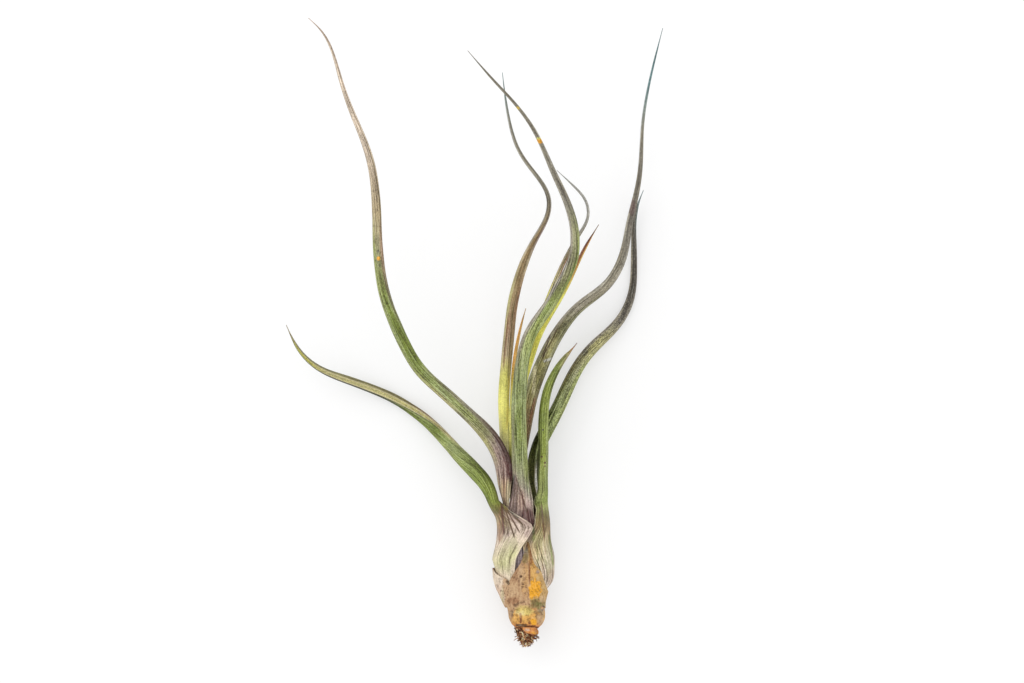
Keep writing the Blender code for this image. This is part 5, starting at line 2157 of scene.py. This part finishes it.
    def stray_root(self, name: str, draw: random.Random) -> bpy.types.Object:
        """A curly root that stands out of the foot of the tuft.

        Args:
            name: its name.
            draw: the source of random numbers.

        Returns:
            The root.
        """
        turn = math.radians(draw.uniform(-self.stray_turn, self.stray_turn))
        wide, high = self.stray_flat
        outward = np.array([math.sin(turn) * wide, 0.0, high * math.cos(turn)])
        y = draw.uniform(*self.stray_y)
        start = np.array([self.butt_x + self.stray_shift, y, AXIS_HEIGHT + draw.uniform(*self.stray_rise)])
        start = start + outward * draw.uniform(*self.stray_reach)
        way = outward * draw.uniform(0.2, 1.0) - ALONG_BULB * draw.uniform(*STRAY_ROOT.down)
        points = STRAY_ROOT.curl(start, way, draw.uniform(*STRAY_ROOT.step), draw)
        return self.root(name, points, draw.uniform(*STRAY_ROOT.thickness))

    def knot_root(self, name: str, draw: random.Random) -> bpy.types.Object:
        """A thicker root that curls over the upper side of the crown's foot.

        Args:
            name: its name.
            draw: the source of random numbers.

        Returns:
            The root.
        """
        place = [row[0] for row in self.foot]
        reach = [row[1] for row in self.foot]
        y = draw.uniform(*self.knot_y)
        last = self.knot_turn if y < self.scale_foot else self.knot_left_end
        turn = math.radians(draw.uniform(-self.knot_turn, last))
        height = draw.uniform(*self.knot_height)
        heading = draw.uniform(0, 2 * math.pi)
        step = draw.uniform(*self.knot_step)
        least, most = self.knot_heights
        points = []
        for _ in range(self.knot_points):
            radius = float(np.interp(y, place, reach)) + height
            x = self.butt_x + radius * math.sin(turn)
            points.append(np.array([x, y, AXIS_HEIGHT + radius * math.cos(turn)]))
            turn += math.cos(heading) * step / radius
            y = max(y + math.sin(heading) * step, self.knot_lowest)
            heading += draw.uniform(-self.knot_heading, self.knot_heading)
            height = min(max(height + draw.uniform(*self.knot_climb), least), most)
        return self.root(name, points, draw.uniform(*self.knot_thickness))

    def long_root(self, name: str, row: tuple[float, ...], draw: random.Random) -> bpy.types.Object:
        """A longer root that leaves the tuft sideways.

        Args:
            name: its name.
            row: its row of long_roots.
            draw: the source of random numbers.

        Returns:
            The root.
        """
        x, y, way_x, way_y = row
        start = np.array([x, y, AXIS_HEIGHT + self.long_rise])
        way = np.array([way_x, way_y, self.long_lift])
        points = LONG_ROOT.curl(start, way, LONG_ROOT.step[0], draw)
        return self.root(name, points, LONG_ROOT.thickness[0])

    def root(self, name: str, points: list[np.ndarray], thickness: float) -> bpy.types.Object:
        """One wiry root: a tapered tube along points.

        Args:
            name: its name.
            points: places along it.
            thickness: its radius at its start, in millimetres.

        Returns:
            The root.
        """
        bpy.ops.object.select_all(action="DESELECT")
        bpy.ops.curve.primitive_nurbs_path_add()
        piece = bpy.context.object
        piece.name = name
        curve = piece.data
        curve.splines.clear()
        curve.bevel_depth = thickness * MM
        curve.bevel_resolution = 1
        curve.use_fill_caps = True
        curve.resolution_u = 3
        spline = curve.splines.new("BEZIER")
        spline.bezier_points.add(len(points) - 1)
        for i, (target, point) in enumerate(zip(spline.bezier_points, points)):
            target.co = ((point[0] - ORIGIN_X) * MM, (point[1] - ORIGIN_Y) * MM, point[2] * MM)
            target.handle_left_type = "AUTO"
            target.handle_right_type = "AUTO"
            target.radius = self.root_start - self.root_taper * i
        return piece

    def join(self, name: str, pieces: list[bpy.types.Object]) -> bpy.types.Object:
        """Join pieces into one mesh object.

        Args:
            name: the name of the whole.
            pieces: what is joined.

        Returns:
            The whole.
        """
        bpy.ops.object.select_all(action="DESELECT")
        for piece in pieces:
            piece.select_set(True)
        bpy.context.view_layer.objects.active = pieces[0]
        bpy.ops.object.convert(target="MESH")
        bpy.ops.object.join()
        joined = bpy.context.object
        joined.name = name
        bpy.ops.object.shade_smooth_by_angle(angle=math.radians(SMOOTH_ROOT))
        return joined

    def build(self) -> None:
        """Model the crown and the root tuft."""
        draw = random.Random(self.root_seed)
        stem = [self.turned("butt", self.butt, self.butt_x), self.turned("cone", self.cone, 0.0)]
        crown = self.join("root_crown", stem)
        long_roots = [self.long_root(f"long_{i}", row, draw) for i, row in enumerate(self.long_roots)]
        names = ("root_tuft", "root_straw", "root_rust")
        barks = {
            "root_crown": Bark(Tint.UMBER, Tint.RUST, Tint.HAZEL),
            "root_tuft": Bark(Tint.UMBER, Tint.UMBER, Tint.RUST),
            "root_straw": Bark(Tint.STRAW, Tint.FAWN, Tint.CREAM),
            "root_rust": Bark(Tint.RUST, Tint.RUST, Tint.CINNAMON),
        }
        kinds = (
            ("short", self.short_roots, self.short_root),
            ("knot", self.knot_roots, self.knot_root),
            ("stray", self.stray_roots, self.stray_root),
        )
        tufts = []
        for name in names:
            roots = []
            for kind, count, make in kinds:
                roots += [make(f"{name}_{kind}_{i}", draw) for i in range(count // len(names))]
            if name == "root_rust":
                roots += long_roots
            tufts.append(self.join(name, roots))
        for piece in (crown, *tufts):
            piece.data.materials.clear()
            piece.data.materials.append(barks[piece.name].material(piece.name + "_bark"))
            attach(piece, "root")
            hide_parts("stem_with_roots")
            LOG.info("%s: %d faces", piece.name, len(piece.data.polygons))


@dataclass
class Studio:
    """White table, soft light and the camera that looks straight down."""

    view_width: float = 0.3413
    view_middle: tuple[float, float] = (0.0125, -0.0024)
    camera_height: float = 9.0
    sharp_height: float = 0.02
    table_half: float = 6.0
    sky: float = 1.29
    key: float = 6.0
    # How strongly the table glows: painted light that lightens its shadows.
    painted_table_glow: float = 0.45
    table_grey: float = 0.42
    table_rough: float = 0.9
    table_shine: float = 0.1
    lamp_size: float = 1.6
    lamp_place: tuple[float, float, float] = (-0.9, 0.8, 1.3)
    lamp_turn: tuple[float, float, float] = (-33.0, -32.0, 0.0)

    def camera(self) -> None:
        """The camera, above the middle of the photograph's frame."""
        lens = bpy.data.cameras.new("camera")
        lens.sensor_width = 36.0
        lens.lens = lens.sensor_width * (self.camera_height - self.sharp_height) / self.view_width
        lens.clip_end = 100.0
        camera = bpy.data.objects.new("camera", lens)
        camera.location = (*self.view_middle, self.camera_height)
        bpy.context.scene.collection.objects.link(camera)
        bpy.context.scene.camera = camera

    def table(self) -> None:
        """The white table, which glows: painted light that lightens the shadows on it and around the plant.
        """
        bpy.ops.object.select_all(action="DESELECT")
        bpy.ops.mesh.primitive_plane_add(size=2 * self.table_half)
        table = bpy.context.object
        table.name = "table"
        graph = Graph("white_table")
        grey = self.table_grey
        graph.shader.inputs["Base Color"].default_value = (grey, grey, grey, 1.0)
        # The glow is painted light, not a lamp: it lightens the shadows on the table.
        graph.shader.inputs["Emission Color"].default_value = (1.0, 1.0, 1.0, 1.0)
        graph.shader.inputs["Emission Strength"].default_value = self.painted_table_glow
        graph.shader.inputs["Roughness"].default_value = self.table_rough
        graph.shader.inputs["Specular IOR Level"].default_value = self.table_shine
        table.data.materials.append(graph.material)

    def lights(self) -> None:
        """An even white sky and a wide lamp from the upper left."""
        world = bpy.data.worlds.new("sky")
        world.use_nodes = True
        back = world.node_tree.nodes["Background"]
        back.inputs["Color"].default_value = (1.0, 1.0, 1.0, 1.0)
        back.inputs["Strength"].default_value = self.sky
        bpy.context.scene.world = world
        lamp = bpy.data.lights.new("wide_lamp", "AREA")
        lamp.energy = self.key
        lamp.size = self.lamp_size
        holder = bpy.data.objects.new("wide_lamp", lamp)
        holder.location = self.lamp_place
        holder.rotation_euler = [math.radians(turn) for turn in self.lamp_turn]
        bpy.context.scene.collection.objects.link(holder)

    def build(self) -> None:
        """Set the whole studio up."""
        self.camera()
        self.table()
        self.lights()
        bpy.context.scene.view_settings.view_transform = "Standard"


def main() -> None:
    """Build the studio and every piece of the plant."""
    logging.basicConfig(level=logging.INFO, format="%(message)s")
    Studio().build()
    RootCrown().build()
    for part in LEAVES + HUSKS:
        part.build()


if __name__ == "__main__":
    main()
